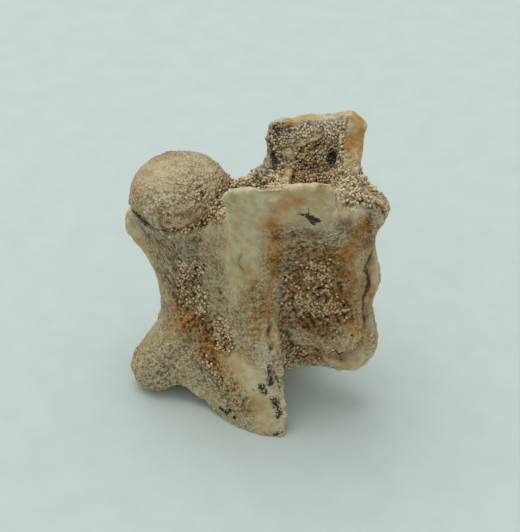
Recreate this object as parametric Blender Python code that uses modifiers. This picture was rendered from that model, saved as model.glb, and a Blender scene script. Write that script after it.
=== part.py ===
"""Sea snake vertebra, a fossil standing on its front end.

Metres, +Z up. As it stands, +Z points to the animal's tail and +X to its back, and Y runs across it, so
the bone is nearly mirror-alike in Y. It is one piece of bone. Each part that an anatomist would name is
drawn as its own closed form. The forms are joined, hollowed out and melted together at their roots, and
the feet are cut level. Sizes in the tables are millimetres, and a half width is measured from the mid
line.
"""

import math

import bmesh
import bpy
from mathutils import Matrix, Vector

MM = 0.001

# The ball of the joint, at the tail end of the centrum, and the cup that takes the next one's ball
CONDYLE_CENTRE = (-6.2, 0.0, 17.4)
CONDYLE_RADII = (4.2, 4.2, 3.45)
COTYLE_CENTRE = (-3.3, 0.0, -0.6)
COTYLE_RADII = (3.35, 3.2, 3.8)

# The spool of the centrum: height, middle x, half width in x, half width in y
CENTRUM = (
    (0.7, -3.4, 3.9, 3.7),
    (1.8, -3.5, 4.3, 4.1),
    (3.6, -3.7, 4.2, 3.9),
    (6.5, -4.1, 3.7, 3.2),
    (10.0, -4.7, 3.3, 2.5),
    (13.0, -5.2, 3.4, 2.6),
    (15.4, -5.8, 3.35, 3.2),
    (16.7, -6.1, 3.4, 3.3),
)

# The keel under the centrum, with the worn stump of its hind process
KEEL_X = -8.2
KEEL_ROOT_X = -5.0
KEEL_BOTTOM = 2.4
KEEL_TOP = 15.2
KEEL_STUMP = 2.9
KEEL_STUMP_HEIGHT = 14.3
KEEL_STUMP_SPREAD = 3.1
KEEL_THICKNESS = 2.0

# The neural arch: height, front x, then half widths of pedicle, side ridge, shoulder, flank and spine root
ARCH = (
    (5.4, 0.4, 2.0, 4.4, 2.9, 2.4, 2.2),
    (7.0, -3.0, 2.7, 4.3, 2.9, 2.3, 1.8),
    (11.6, -3.9, 2.5, 4.2, 2.9, 2.2, 1.7),
    (15.0, -3.9, 2.7, 4.55, 3.5, 2.9, 2.1),
    (17.3, -3.6, 2.7, 4.85, 4.3, 3.7, 2.7),
    (20.0, -2.8, 2.5, 5.05, 4.95, 4.5, 3.1),
)
RIDGE_MIDDLE = 0.8
RIDGE_HALF_WIDTH = 0.95
RIDGE_FOOT_HEIGHT = 9.0
RIDGE_FOOT_LEAN = 0.25
SHOULDER_X = 3.6
FLANK_X = 5.6
SPINE_ROOT_X = 8.0
ARCH_BACK = 9.8

# The notch in the hind edge of the arch, the nerve's way out in front of the wing
NOTCH_DEPTH = 1.8
NOTCH_BACK = -0.4
NOTCH_RUN = 1.2
HIND_EDGE_SLOPE = 0.08

# The neural spine, a plate whose back edge is broken off in waves
SPINE_THICKNESS = 1.9
SPINE_EDGE = 10.1
SPINE_WAVE = 0.32
SPINE_WAVELENGTH = 6.3
SPINE_BOTTOM = 5.2
SPINE_TOP = 20.6
SPINE_POINTS = 13
SPINE_CREST_HEIGHT = 6.7
SPINE_KNOB = 0.4
SPINE_KNOB_HEIGHT = 19.3
SPINE_KNOB_REACH = 1.6

# A wing: height and x at its front, the same at its back, half widths outside at front and back and
# inside at front and back, and how much lower it is inside
WING = (
    (16.5, -0.3, 16.5, 7.2, 4.7, 2.7, 2.8, 1.4, 0.0),
    (19.2, -0.6, 19.2, 7.8, 5.0, 4.0, 3.6, 2.8, 0.0),
    (20.9, -0.9, 22.6, 8.1, 5.3, 5.1, 3.9, 3.7, 0.4),
    (21.9, -0.95, 24.1, 8.1, 5.35, 5.5, 4.4, 4.5, 0.6),
    (22.65, -0.6, 24.8, 7.5, 5.45, 5.8, 4.85, 5.1, 0.3),
)
WING_BULGE = 0.3

# The roof plate between the wings: half widths at which it is drawn
ROOF_STATIONS = (0.0, 1.6, 3.0, 4.4, 5.3)
ROOF_FRONT = 6.9
ROOF_FRONT_LEAN = 0.28
ROOF_BACK = 9.3
ROOF_BACK_LEAN = 0.5
ROOF_BACK_LEAST = 8.0
ROOF_RIM = 20.9
ROOF_RIM_CLIMB = 0.12
ROOF_ROOT = 15.0
ROOF_ROOT_CLIMB = 0.18

# A front process and its foot: height, front x, back x, then half widths at front, crest, back and inside
PREZYGAPOPHYSIS = (
    (-0.6, 0.4, 4.3, 6.2, 6.75, 6.2, 5.2),
    (1.6, -1.6, 4.4, 5.6, 6.4, 5.9, 4.2),
    (4.0, -1.4, 3.75, 4.4, 5.4, 5.0, 2.9),
    (6.5, -1.2, 3.6, 3.5, 4.75, 4.3, 2.2),
    (9.5, -1.0, 2.8, 3.3, 4.35, 3.8, 2.2),
)

# The wall from the rib joint to the front process: x, half width, upper edge, lower edge
SIDE_WALL = (
    (-7.2, 4.9, 4.8, 0.7),
    (-4.8, 4.7, 5.6, 1.5),
    (-2.8, 4.9, 5.8, 0.6),
    (-1.2, 5.6, 5.8, 0.0),
    (0.6, 6.2, 5.6, -0.2),
    (2.6, 6.3, 5.0, -0.4),
)

# The front lip of the roof: height at its front and back, front x, half widths from front to back
ZYGOSPHENE = (
    (3.6, 4.7, 2.8, 2.6, 2.3, 2.4, 1.7),
    (5.4, 6.2, 2.9, 3.0, 2.6, 2.9, 2.0),
    (7.4, 7.8, 3.6, 2.7, 2.7, 3.2, 2.0),
    (9.2, 9.4, 3.8, 2.5, 2.3, 2.2, 1.2),
)

# The rib joint, a blunt knob: x, half width, height and radius along its middle
SYNAPOPHYSIS = (
    (-5.0, 1.6, 6.4, 2.1),
    (-6.7, 2.6, 4.2, 1.95),
    (-7.65, 3.0, 2.0, 2.3),
)

# The canal of the spinal cord: height, middle x, half width in x, half width in y
NEURAL_CANAL = (
    (-2.0, 2.6, 1.5, 2.4),
    (3.0, 2.2, 1.4, 1.9),
    (7.0, 1.4, 1.2, 1.4),
    (12.0, 0.4, 1.2, 1.2),
    (16.0, -0.3, 1.4, 1.5),
    (19.0, -0.6, 1.8, 2.3),
    (22.0, -1.0, 2.0, 3.2),
    (26.0, -1.4, 2.2, 3.8),
)

# The hind socket under the roof: height, front x, back x, then half widths at front, middle and back
ZYGANTRUM = (
    (16.4, 3.0, 6.0, 1.6, 2.2, 1.2),
    (18.2, 2.6, 6.4, 2.3, 2.9, 1.8),
    (20.4, 2.2, 6.7, 2.8, 3.5, 2.2),
    (23.0, 1.5, 6.8, 3.0, 3.9, 3.0),
    (26.0, 1.5, 6.9, 3.4, 4.2, 3.4),
)

# Pits on each side: x, half width and height of the middle, and three radii
PITS = {
    "front_recess": ((5.4, 3.9, 5.5), (1.7, 1.35, 0.95)),
    "pedicle_pit": ((-1.5, 4.3, 16.6), (0.7, 0.9, 1.3)),
    "side_pit": ((-1.4, 4.6, 7.4), (0.7, 0.9, 1.3)),
}

# Wear: the far wing has lost some of its back edge and less of its rim, and the near one a whole corner
FAR_WING_LOSS = 0.65
FAR_WING_RISE = 0.15
NEAR_WING_LOSS = 0.22
NEAR_ROOF_LEAST = 7.25

# The melting together of the forms
VOXEL = 0.24
SMOOTHING_PASSES = 11
FACES_KEPT = 0.1
FOOT_TOLERANCE = 0.02

SIDES = {"near": -1, "far": 1}
CURVE_STEPS = 4
BONE_COLOUR = (0.34, 0.22, 0.11)
BONE_ROUGHNESS = 0.85


def clear_scene():
    for obj in list(bpy.data.objects):
        bpy.data.objects.remove(obj, do_unlink=True)


def new_collection(name):
    made = bpy.data.collections.new(name)
    bpy.context.scene.collection.children.link(made)
    return made


def add_mesh_object(name, bm, into):
    """Turns a bmesh into an object, with its faces pointing out."""
    bmesh.ops.recalc_face_normals(bm, faces=bm.faces)
    mesh = bpy.data.meshes.new(name)
    bm.to_mesh(mesh)
    bm.free()
    obj = bpy.data.objects.new(name, mesh)
    into.objects.link(obj)
    return obj


def mix(a, b, f):
    return a + (b - a) * f


def smooth_between(p, q, r, s, f):
    """The point at fraction f on the smooth curve from q to r, where p comes before and s after."""
    straight = (r - p) * f
    bend = (2 * p - 5 * q + 4 * r - s) * f**2
    twist = (3 * q - p - 3 * r + s) * f**3
    return 0.5 * (2 * q + straight + bend + twist)


def add_ellipsoid(name, centre, radii, into):
    bm = bmesh.new()
    bmesh.ops.create_uvsphere(bm, u_segments=32, v_segments=20, radius=1.0)
    place = Matrix.Translation(Vector(centre) * MM) @ Matrix.Diagonal((*[r * MM for r in radii], 1.0))
    bmesh.ops.transform(bm, matrix=place, verts=bm.verts)
    return add_mesh_object(name, bm, into)


def add_limb(name, joints, side, into):
    """A round limb through joints of (x, half width, height, radius), with a ball at each joint."""
    curve = bpy.data.curves.new(name, "CURVE")
    curve.dimensions = "3D"
    curve.bevel_depth = MM
    curve.use_fill_caps = True
    curve.resolution_u = 6
    spline = curve.splines.new("BEZIER")
    spline.bezier_points.add(len(joints) - 1)
    for point, (x, y, z, radius) in zip(spline.bezier_points, joints):
        point.co = Vector((x, side * y, z)) * MM
        point.radius = radius
        point.handle_left_type = "AUTO"
        point.handle_right_type = "AUTO"
        add_ellipsoid(f"{name}_ball", (x, side * y, z), (radius,) * 3, into)
    return mesh_from_curve(name, curve, Matrix(), into)


def add_plate(name, outline, thickness, into):
    """A plate on the mid plane, cut to an outline of (x, z) points, with rounded edges."""
    rounding = 0.4
    curve = bpy.data.curves.new(name, "CURVE")
    curve.dimensions = "2D"
    curve.fill_mode = "BOTH"
    curve.extrude = (thickness / 2 - rounding) * MM
    curve.bevel_depth = rounding * MM
    curve.bevel_resolution = 2
    curve.offset = -rounding * MM
    curve.resolution_u = 5
    spline = curve.splines.new("BEZIER")
    spline.bezier_points.add(len(outline) - 1)
    for point, (x, z) in zip(spline.bezier_points, outline):
        point.co = (x * MM, z * MM, 0.0)
        point.handle_left_type = "AUTO"
        point.handle_right_type = "AUTO"
    spline.use_cyclic_u = True
    return mesh_from_curve(name, curve, Matrix.Rotation(math.pi / 2, 4, "X"), into)


def mesh_from_curve(name, curve, turn, into):
    """The closed mesh of a curve, turned, with its caps welded on."""
    guide = bpy.data.objects.new(name + "_guide", curve)
    into.objects.link(guide)
    bpy.context.view_layer.update()
    evaluated = guide.evaluated_get(bpy.context.evaluated_depsgraph_get())
    mesh = bpy.data.meshes.new_from_object(evaluated)
    bpy.data.objects.remove(guide)
    mesh.transform(turn)
    bm = bmesh.new()
    bm.from_mesh(mesh)
    bmesh.ops.remove_doubles(bm, verts=bm.verts, dist=0.01 * MM)
    return add_mesh_object(name, bm, into)


def add_loft(name, sections, into, side=1):
    """A closed skin over unlike rings of (x, y, z), curved both along and around."""
    columns = [[Vector((x, side * y, z)) * MM for x, y, z in section] for section in sections]
    bm = bmesh.new()
    rings = []
    for step in range((len(columns) - 1) * CURVE_STEPS + 1):
        ring = smooth_ring(columns, step / CURVE_STEPS)
        rings.append([bm.verts.new(point) for point in smooth_loop(ring)])
    for low, high in zip(rings, rings[1:]):
        for i, j in zip(range(len(low)), [*range(1, len(low)), 0]):
            bm.faces.new((low[i], low[j], high[j], high[i]))
    for ring in (rings[0], rings[-1]):
        middle = bm.verts.new(sum((vert.co for vert in ring), Vector()) / len(ring))
        for i, j in zip(range(len(ring)), [*range(1, len(ring)), 0]):
            bm.faces.new((ring[i], ring[j], middle))
    return add_mesh_object(name, bm, into)


def smooth_ring(rings, t):
    """The ring at t, counted in rings, on the smooth skin through all of them."""
    first = min(int(t), len(rings) - 2)
    four = [rings[min(max(first + d, 0), len(rings) - 1)] for d in (-1, 0, 1, 2)]
    return [smooth_between(*points, t - first) for points in zip(*four)]


def smooth_loop(ring):
    """A closed loop of points with smooth curves between them."""
    count = len(ring)
    loop = []
    for i in range(count):
        four = [ring[(i + d) % count] for d in (-1, 0, 1, 2)]
        loop += [smooth_between(*four, s / CURVE_STEPS) for s in range(CURVE_STEPS)]
    return loop


def mirrored(half):
    """A whole ring from its half, which starts and ends on the mid line."""
    return half + [(x, -y, z) for x, y, z in half[-2:0:-1]]


def oval(height, x, half_x, half_y):
    """A level ring with sixteen points."""
    angles = [math.tau * i / 16 for i in range(16)]
    return [(x + half_x * math.cos(a), half_y * math.sin(a), height) for a in angles]


def arch_ring(height, front, pedicle, ridge, shoulder, flank, root):
    """The neural arch at one height, from the pedicle round the side ridge to the spine."""
    ridge_x = RIDGE_MIDDLE + RIDGE_FOOT_LEAN * max(0.0, RIDGE_FOOT_HEIGHT - height)
    half = [
        (front, 0.0),
        (front, pedicle),
        (ridge_x - 2.7, pedicle + 0.55),
        (ridge_x - RIDGE_HALF_WIDTH, ridge - 0.1),
        (ridge_x + RIDGE_HALF_WIDTH, ridge),
        (SHOULDER_X, shoulder),
        (FLANK_X, flank),
        (SPINE_ROOT_X, root),
        (ARCH_BACK - 0.4, SPINE_THICKNESS * 0.55),
        (ARCH_BACK, 0.0),
    ]
    hind = height >= ARCH[-1][0]
    return mirrored([(x, y, height - (hind_notch(x) if hind else 0.0)) for x, y in half])


def hind_notch(x):
    """How far the hind edge of the arch drops at x; behind the notch it climbs a little."""
    depth = NOTCH_DEPTH * min(1.0, max(0.0, (NOTCH_BACK - x) / NOTCH_RUN))
    return depth - HIND_EDGE_SLOPE * max(x, 0.0)


def keel_outline():
    """The keel's front edge bulges out at the stump, which ends in a rounded corner."""
    count = 9
    edge = []
    for i in range(count):
        z = mix(KEEL_BOTTOM, KEEL_TOP, i / (count - 1))
        stump = math.exp(-(((z - KEEL_STUMP_HEIGHT) / KEEL_STUMP_SPREAD) ** 2))
        edge.append((KEEL_X - KEEL_STUMP * stump, z))
    corner = (edge[-1][0] + 1.25, KEEL_TOP + 0.9)
    return [(KEEL_ROOT_X, KEEL_BOTTOM), *edge, corner, (KEEL_ROOT_X, KEEL_TOP + 0.4)]


def spine_outline():
    """The spine's back edge runs in waves, with a knob near its hind end."""
    edge = []
    for i in range(SPINE_POINTS):
        z = mix(SPINE_BOTTOM, SPINE_TOP, i / (SPINE_POINTS - 1))
        wave = SPINE_WAVE * math.cos(math.tau * (z - SPINE_CREST_HEIGHT) / SPINE_WAVELENGTH)
        knob = SPINE_KNOB * max(0.0, 1 - abs(z - SPINE_KNOB_HEIGHT) / SPINE_KNOB_REACH)
        edge.append((SPINE_EDGE + wave + knob, z))
    root = SPINE_ROOT_X - 3.0
    low = [(root, SPINE_BOTTOM + 0.8), (SPINE_ROOT_X, SPINE_BOTTOM)]
    return [*low, *edge, (SPINE_ROOT_X, SPINE_TOP), (root, SPINE_TOP - 2.6)]


def wing_ring(front_z, front_x, back_z, back_x, out_front, out_back, in_front, in_back, drop):
    """A wing's ring: four points along its outside and four back along its inside."""
    outside = []
    inside = []
    for i in range(4):
        f = i / 3
        z = mix(front_z, back_z, f)
        bulge = WING_BULGE * 4 * f * (1 - f)
        outside.append((mix(front_x, back_x, f), mix(out_front, out_back, f) + bulge, z))
        inside.append((mix(front_x + 0.9, back_x - 0.6, f), mix(in_front, in_back, f), z - drop))
    return outside + inside[::-1]


def roof_ring(y, side):
    """The roof plate at one half width: its rim climbs and leans forward towards the wing."""
    inner = ROOF_FRONT - ROOF_FRONT_LEAN * y
    outer = max(ROOF_BACK - ROOF_BACK_LEAN * y, ROOF_BACK_LEAST if side > 0 else NEAR_ROOF_LEAST)
    if side > 0:
        outer -= FAR_WING_LOSS * y / ROOF_STATIONS[-1]
    rim = ROOF_RIM + ROOF_RIM_CLIMB * y**2
    root = ROOF_ROOT + ROOF_ROOT_CLIMB * y**2
    root_y = 0.85 * y
    return [
        (inner + 0.2, root_y, root),
        (inner, y, rim - 0.4),
        (inner + 0.6, y, rim),
        (outer - 0.3, y, rim - 0.1),
        (outer, y, rim - 1.8),
        (outer - 0.6, root_y, root),
    ]


def prezygapophysis_ring(height, front, back, out_front, crest, out_back, inside):
    """A front process at one height: round outside, flat at the back and hollow inside."""
    points = [
        (front, out_front),
        (mix(front, back, 0.4), crest - 0.1),
        (mix(front, back, 0.75), crest),
        (back, out_back),
        (back - 0.15, out_back - 1.0),
        (mix(front, back, 0.6), inside),
        (front + 0.6, inside - 0.1),
    ]
    return [(x, y, height) for x, y in points]


def side_wall_ring(x, width, top, bottom):
    """An upright ring across the wall, from its outer face round to its root in the centrum."""
    return [
        (x, width, bottom + 1.3),
        (x + 0.3, width - 0.9, top),
        (x + 0.6, 2.2, top + 1.0),
        (x + 0.4, 2.4, bottom + 1.2),
        (x, width - 0.2, bottom),
    ]


def zygosphene_ring(front_z, back_z, front_x, *widths):
    """The lip at one level, which rises from its front over the first three millimetres."""
    stations = (front_x, 5.4, 8.0, 9.6)
    half = [(front_x, 0.0, front_z)]
    for x, width in zip(stations, widths):
        half.append((x, width, mix(front_z, back_z, min(1.0, (x - front_x) / 3.0))))
    return mirrored([*half, (9.9, 0.0, back_z)])


def zygantrum_ring(height, front, back, front_width, middle_width, back_width):
    """The hind socket at one height, with a wall that narrows to the back."""
    half = [
        (front, 0.0),
        (front, front_width),
        (mix(front, back, 0.25), middle_width),
        (mix(front, back, 0.65), middle_width),
        (back - 0.6, back_width),
        (back, 0.0),
    ]
    return mirrored([(x, y, height) for x, y in half])


def add_forms(into):
    """All the solid parts of the bone, still apart."""
    add_loft("centrum", [oval(*row) for row in CENTRUM], into)
    add_ellipsoid("condyle", CONDYLE_CENTRE, CONDYLE_RADII, into)
    add_plate("keel", keel_outline(), KEEL_THICKNESS, into)
    add_loft("neural_arch", [arch_ring(*row) for row in ARCH], into)
    add_plate("neural_spine", spine_outline(), SPINE_THICKNESS, into)
    add_loft("zygosphene", [zygosphene_ring(*row) for row in ZYGOSPHENE], into)
    for label, side in SIDES.items():
        add_loft(f"wing_{label}", wing_rings(side), into, side)
        add_loft(f"roof_{label}", [roof_ring(y, side) for y in ROOF_STATIONS], into, side)
        foot = [prezygapophysis_ring(*row) for row in PREZYGAPOPHYSIS]
        add_loft(f"prezygapophysis_{label}", foot, into, side)
        add_loft(f"side_wall_{label}", [side_wall_ring(*row) for row in SIDE_WALL], into, side)
        add_limb(f"synapophysis_{label}", SYNAPOPHYSIS, side, into)


def wing_rings(side):
    """The rings of one wing, with the wear of its side."""
    rings = []
    for front_z, front_x, back_z, back_x, *widths in WING:
        if side > 0:
            back_x -= FAR_WING_LOSS
            front_x += FAR_WING_LOSS / 3
            front_z += FAR_WING_RISE * (front_z > 21.0)
        else:
            back_x -= NEAR_WING_LOSS
            widths[1] -= NEAR_WING_LOSS
        rings.append(wing_ring(front_z, front_x, back_z, back_x, *widths))
    return rings


def add_hollows(into):
    """All that is cut out of the joined forms."""
    add_ellipsoid("cotyle", COTYLE_CENTRE, COTYLE_RADII, into)
    add_loft("neural_canal", [oval(*row) for row in NEURAL_CANAL], into)
    add_loft("zygantrum", [zygantrum_ring(*row) for row in ZYGANTRUM], into)
    for label, side in SIDES.items():
        for pit, ((x, y, z), radii) in PITS.items():
            add_ellipsoid(f"{pit}_{label}", (x, side * y, z), radii, into)
    for obj in into.objects:
        as_cutter(obj)


def add_floor(into):
    """A block whose top is the floor, which cuts the feet level."""
    bm = bmesh.new()
    bmesh.ops.create_cube(bm, size=1.0)
    place = Matrix.Translation((0.0, 0.0, -2.0 * MM)) @ Matrix.Diagonal((0.05, 0.05, 0.004, 1.0))
    bmesh.ops.transform(bm, matrix=place, verts=bm.verts)
    return as_cutter(add_mesh_object("floor", bm, into))


def as_cutter(obj):
    obj.hide_render = True
    obj.display_type = "WIRE"
    return obj


def add_modifier(obj, kind, **settings):
    made = obj.modifiers.new(kind.title(), kind)
    for name, value in settings.items():
        setattr(made, name, value)
    return made


def cast_in_one(forms, hollows, floor):
    """Joins the forms, cuts the hollows, melts the roots together and levels the feet."""
    core = forms.objects["centrum"]
    forms.objects.unlink(core)
    bpy.context.scene.collection.objects.link(core)
    add_modifier(core, "BOOLEAN", operation="UNION", operand_type="COLLECTION", collection=forms)
    add_modifier(core, "BOOLEAN", operation="DIFFERENCE", operand_type="COLLECTION", collection=hollows)
    add_modifier(core, "REMESH", mode="VOXEL", voxel_size=VOXEL * MM)
    add_modifier(core, "SMOOTH", factor=0.5, iterations=SMOOTHING_PASSES)
    add_modifier(core, "BOOLEAN", operation="DIFFERENCE", object=floor)
    add_modifier(core, "DECIMATE", ratio=FACES_KEPT)
    add_modifier(core, "TRIANGULATE")
    bpy.context.view_layer.update()
    evaluated = core.evaluated_get(bpy.context.evaluated_depsgraph_get())
    mesh = bpy.data.meshes.new_from_object(evaluated)
    mesh.name = "vertebra"
    for obj in [core, floor, *forms.objects, *hollows.objects]:
        bpy.data.objects.remove(obj)
    bone = bpy.data.objects.new("vertebra", mesh)
    forms.objects.link(bone)
    return bone


def keep_largest_surface(obj):
    """Drops every loose scrap, so that one closed surface is left."""
    bm = bmesh.new()
    bm.from_mesh(obj.data)
    left = set(bm.verts)
    surfaces = []
    while left:
        front = [left.pop()]
        surface = list(front)
        while front:
            vert = front.pop()
            neighbours = {edge.other_vert(vert) for edge in vert.link_edges} & left
            left -= neighbours
            front += neighbours
            surface += neighbours
        surfaces.append(surface)
    surfaces.sort(key=len)
    scraps = [vert for surface in surfaces[:-1] for vert in surface]
    bmesh.ops.delete(bm, geom=scraps, context="VERTS")
    bm.to_mesh(obj.data)
    bm.free()


def centre_on_base(obj):
    """Moves the mesh so that the middle of its box's base is the origin."""
    corners = [Vector(corner) for corner in obj.bound_box]
    low = Vector([min(corner[i] for corner in corners) for i in range(3)])
    high = Vector([max(corner[i] for corner in corners) for i in range(3)])
    middle = (low + high) / 2
    obj.data.transform(Matrix.Translation((-middle.x, -middle.y, -low.z)))


def level_feet(obj):
    """Puts the points of the feet, which thinning the mesh moves by microns, exactly on the floor."""
    for vert in obj.data.vertices:
        if vert.co.z < FOOT_TOLERANCE * MM:
            vert.co.z = 0.0


def paint(obj, colour, roughness):
    material = bpy.data.materials.new(obj.name + "_surface")
    material.use_nodes = True
    shader = material.node_tree.nodes["Principled BSDF"]
    shader.inputs["Base Color"].default_value = (*colour, 1.0)
    shader.inputs["Roughness"].default_value = roughness
    obj.data.materials.clear()
    obj.data.materials.append(material)
    obj.data.shade_smooth()


def main():
    clear_scene()
    forms = new_collection("sea_snake_vertebra")
    hollows = new_collection("hollows")
    add_forms(forms)
    add_hollows(hollows)
    floor = add_floor(bpy.context.scene.collection)
    bone = cast_in_one(forms, hollows, floor)
    keep_largest_surface(bone)
    centre_on_base(bone)
    level_feet(bone)
    paint(bone, BONE_COLOUR, BONE_ROUGHNESS)


if __name__ == "__main__":
    main()
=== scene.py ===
"""The looks of a fossil sea snake vertebra, which stands on its front end on a pale table.

The bone's solid comes from the frame. It is drawn again as one fine skin, which is cut and sculpted where
the solid is too smooth, weathered, and stained with minerals. Its fine relief, some hollows and some edges
are also painted with highlight and shade. Grains of phosphate sand lie on the skin wherever the real crust
has held. Sizes and places are millimetres in the frame's axes: +Z points to the animal's tail and is up as
the bone stands, +X points to its back, and the bone's right side, at -Y, faces the camera.
"""

from __future__ import annotations

import logging
import math
from dataclasses import dataclass, field
from enum import Enum
from typing import Any

import bmesh
import bpy
import numpy as np
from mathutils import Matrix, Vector

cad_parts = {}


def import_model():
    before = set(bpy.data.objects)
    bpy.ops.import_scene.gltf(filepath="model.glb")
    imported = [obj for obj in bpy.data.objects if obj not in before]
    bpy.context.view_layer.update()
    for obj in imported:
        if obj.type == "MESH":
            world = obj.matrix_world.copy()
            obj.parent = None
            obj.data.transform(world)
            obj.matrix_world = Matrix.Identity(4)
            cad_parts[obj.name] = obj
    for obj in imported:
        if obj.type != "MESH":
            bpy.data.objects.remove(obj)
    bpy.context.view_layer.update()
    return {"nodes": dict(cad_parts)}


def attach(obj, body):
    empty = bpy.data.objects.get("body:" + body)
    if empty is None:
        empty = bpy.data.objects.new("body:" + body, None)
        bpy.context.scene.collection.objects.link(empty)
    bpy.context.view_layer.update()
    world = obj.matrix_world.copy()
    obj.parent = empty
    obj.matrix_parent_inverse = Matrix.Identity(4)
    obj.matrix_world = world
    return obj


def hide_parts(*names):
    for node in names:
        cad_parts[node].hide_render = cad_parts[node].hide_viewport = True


log = logging.getLogger("vertebra")

MM = 0.001
IMAGE_WIDTH = 520
IMAGE_HEIGHT = 532
SENSOR_MM = 36.0

# How far strokes wander off their drawn lines, and how wide each wave of that is
WANDER = 0.12
WANDER_WIDTH = 0.8

# Below the first dot product with a stroke's facing, the skin takes none of it, and above the second all
TURNED_AWAY = -0.1
TURNED_TO_IT = 0.35

# How many waves make a random field, how their pitches vary and how high they stand together
WAVE_COUNT = 8
WAVE_PITCHES = (0.7, 1.4)
WAVE_PEAK = 3.2

# The share of a chip's width in which it is cut in full
CHIP_CORE = 0.7

Point = tuple[float, float, float]
Tree = bpy.types.NodeTree


def linear(colour: str) -> tuple[float, float, float, float]:
    """Turns an sRGB hex colour to the linear values that shaders take.

    Args:
        colour: the colour as "#rrggbb".

    Returns:
        Red, green, blue and an alpha of 1.
    """
    parts = [int(colour[i : i + 2], 16) / 255 for i in (1, 3, 5)]
    made = [p / 12.92 if p <= 0.04045 else ((p + 0.055) / 1.055) ** 2.4 for p in parts]
    return made[0], made[1], made[2], 1.0


def per_metre(size_mm: float) -> float:
    """Gives the texture scale at which a pattern's features are size_mm wide."""
    return 1.0 / (size_mm * MM)


def add_node(tree: Tree, kind: str, inputs: dict[Any, Any] | None = None, **settings: Any) -> Any:
    """Adds a node with its settings, its values and its links.

    Args:
        tree: the tree to add it to.
        kind: the node's Blender type.
        inputs: values or output sockets, by the name or number of the input that takes them.
        settings: the node's own properties.

    Returns:
        The new node.
    """
    node = tree.nodes.new(kind)
    for name, value in settings.items():
        setattr(node, name, value)
    for key, value in (inputs or {}).items():
        if isinstance(value, bpy.types.NodeSocket):
            tree.links.new(value, node.inputs[key])
        else:
            node.inputs[key].default_value = value
    return node


def smooth_step(low: float, high: float, values: np.ndarray) -> np.ndarray:
    """Rises smoothly from 0 at low to 1 at high, or falls where high is below low."""
    t = np.clip((values - low) / (high - low), 0.0, 1.0)
    return t * t * (3.0 - 2.0 * t)


def waves(points: np.ndarray, width: float, seed: int) -> np.ndarray:
    """A smooth random field made of crossing waves.

    Args:
        points: places, one a row.
        width: the width of a typical hump, in the points' units.
        seed: chooses the waves.

    Returns:
        A value from about -1 to 1 for each point.
    """
    rng = np.random.default_rng(seed)
    total = np.zeros(len(points))
    for _ in range(WAVE_COUNT):
        direction = rng.normal(size=3)
        direction *= math.pi / width / np.linalg.norm(direction)
        total += np.sin(points @ direction * rng.uniform(*WAVE_PITCHES) + rng.uniform(0.0, math.tau))
    return total / WAVE_PEAK


def wander(points: np.ndarray) -> np.ndarray:
    """Gives small shifts that take strokes off their drawn lines, so that no edge is ruled."""
    return np.stack([waves(points, WANDER_WIDTH, seed) * WANDER for seed in (11, 12, 13)], axis=1)


class Mineral(Enum):
    """The stains that the sea bed left: each one's colour, and how it is mixed with what is below it.

    Those that multiply have soaked in and tint the bone; the others lie on it as a crisp speckled skin.
    Some umber strokes are painted shade, and some chalk strokes are painted light and highlight.
    """

    IRON = ("#eebc82", "MULTIPLY")
    OCHRE = ("#fbe2ac", "MULTIPLY")
    OLIVE = ("#dde6d4", "MULTIPLY")
    UMBER = ("#ae8a6a", "MULTIPLY")
    CHALK = ("#d1c8a8", "MIX")
    MANGANESE = ("#30302d", "MIX")

    @property
    def colour(self) -> str:
        """The stain's colour as hex."""
        return self.value[0]

    @property
    def blend(self) -> str:
        """How it is mixed."""
        return self.value[1]


class Region(Enum):
    """The parts of the skin whose sand is kept in a piece of its own."""

    HIND_HOLLOW = 0
    RIGHT_SIDE = 1
    LEFT_SIDE = 2


@dataclass(frozen=True)
class Stroke:
    """A brush stroke over the skin: a spot where its path has one point, and a line where it has more.

    The tables give its path, its width and its amount. The amount is a share of the paint for a stain, and
    millimetres for a dent or a rim. A mirrored stroke is made on the bone's left side as well. A stroke
    that faces a way leaves alone what faces the other way.
    """

    path: tuple[Point, ...]
    width: float
    amount: float = 1.0
    mirrored: bool = False
    facing: Point | None = None
    sharpness: float = 1.0

    def lay(self, points: np.ndarray, normals: np.ndarray) -> np.ndarray:
        """Works out how much of the stroke each point takes.

        Args:
            points: places in millimetres, one a row.
            normals: the skin's outward directions there.

        Returns:
            The amount at each point.
        """
        total = self._one_side(points, normals)
        if self.mirrored:
            flip = np.array([1.0, -1.0, 1.0])
            total = np.maximum(abs(total), abs(self._one_side(points * flip, normals * flip)))
            total *= math.copysign(1.0, self.amount)
        return total

    def _one_side(self, points: np.ndarray, normals: np.ndarray) -> np.ndarray:
        """Works out the stroke on its own side of the bone.

        Args:
            points: places in millimetres, one a row.
            normals: the skin's outward directions there.

        Returns:
            The amount at each point.
        """
        path = [np.array(point) for point in self.path]
        nearest = np.linalg.norm(points - path[0], axis=1)
        for start, end in zip(path, path[1:]):
            along = end - start
            share = np.clip((points - start) @ along / (along @ along), 0.0, 1.0)
            nearest = np.minimum(nearest, np.linalg.norm(points - start - share[:, None] * along, axis=1))
        weight = smooth_step(1.0, 0.0, np.clip(nearest / self.width, 0.0, 1.0))
        weight = np.clip(weight * self.sharpness, 0.0, 1.0)
        if self.facing is not None:
            turned = normals @ np.array(self.facing)
            weight = weight * smooth_step(TURNED_AWAY, TURNED_TO_IT, turned)
        return weight * self.amount


def both(path: tuple[Point, ...], width: float, amount: float = 1.0, **settings: Any) -> Stroke:
    """Gives a stroke that is made on both sides of the bone, with any other settings by name."""
    return Stroke(path, width, amount, mirrored=True, **settings)


@dataclass(frozen=True)
class Chip:
    """A flat break: around its middle, what stood out past the plane that it faces from is gone."""

    middle: Point
    facing: Point
    width: float

    def cut(self, points: np.ndarray) -> np.ndarray:
        """Works out how far each point moves back to the plane.

        Args:
            points: places in millimetres, one a row.

        Returns:
            The offset of each point.
        """
        facing = np.array(self.facing) / np.linalg.norm(self.facing)
        away = points - np.array(self.middle)
        near = smooth_step(self.width, CHIP_CORE * self.width, np.linalg.norm(away, axis=1))
        return -facing * (np.maximum(away @ facing, 0.0) * near)[:, None]


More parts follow.
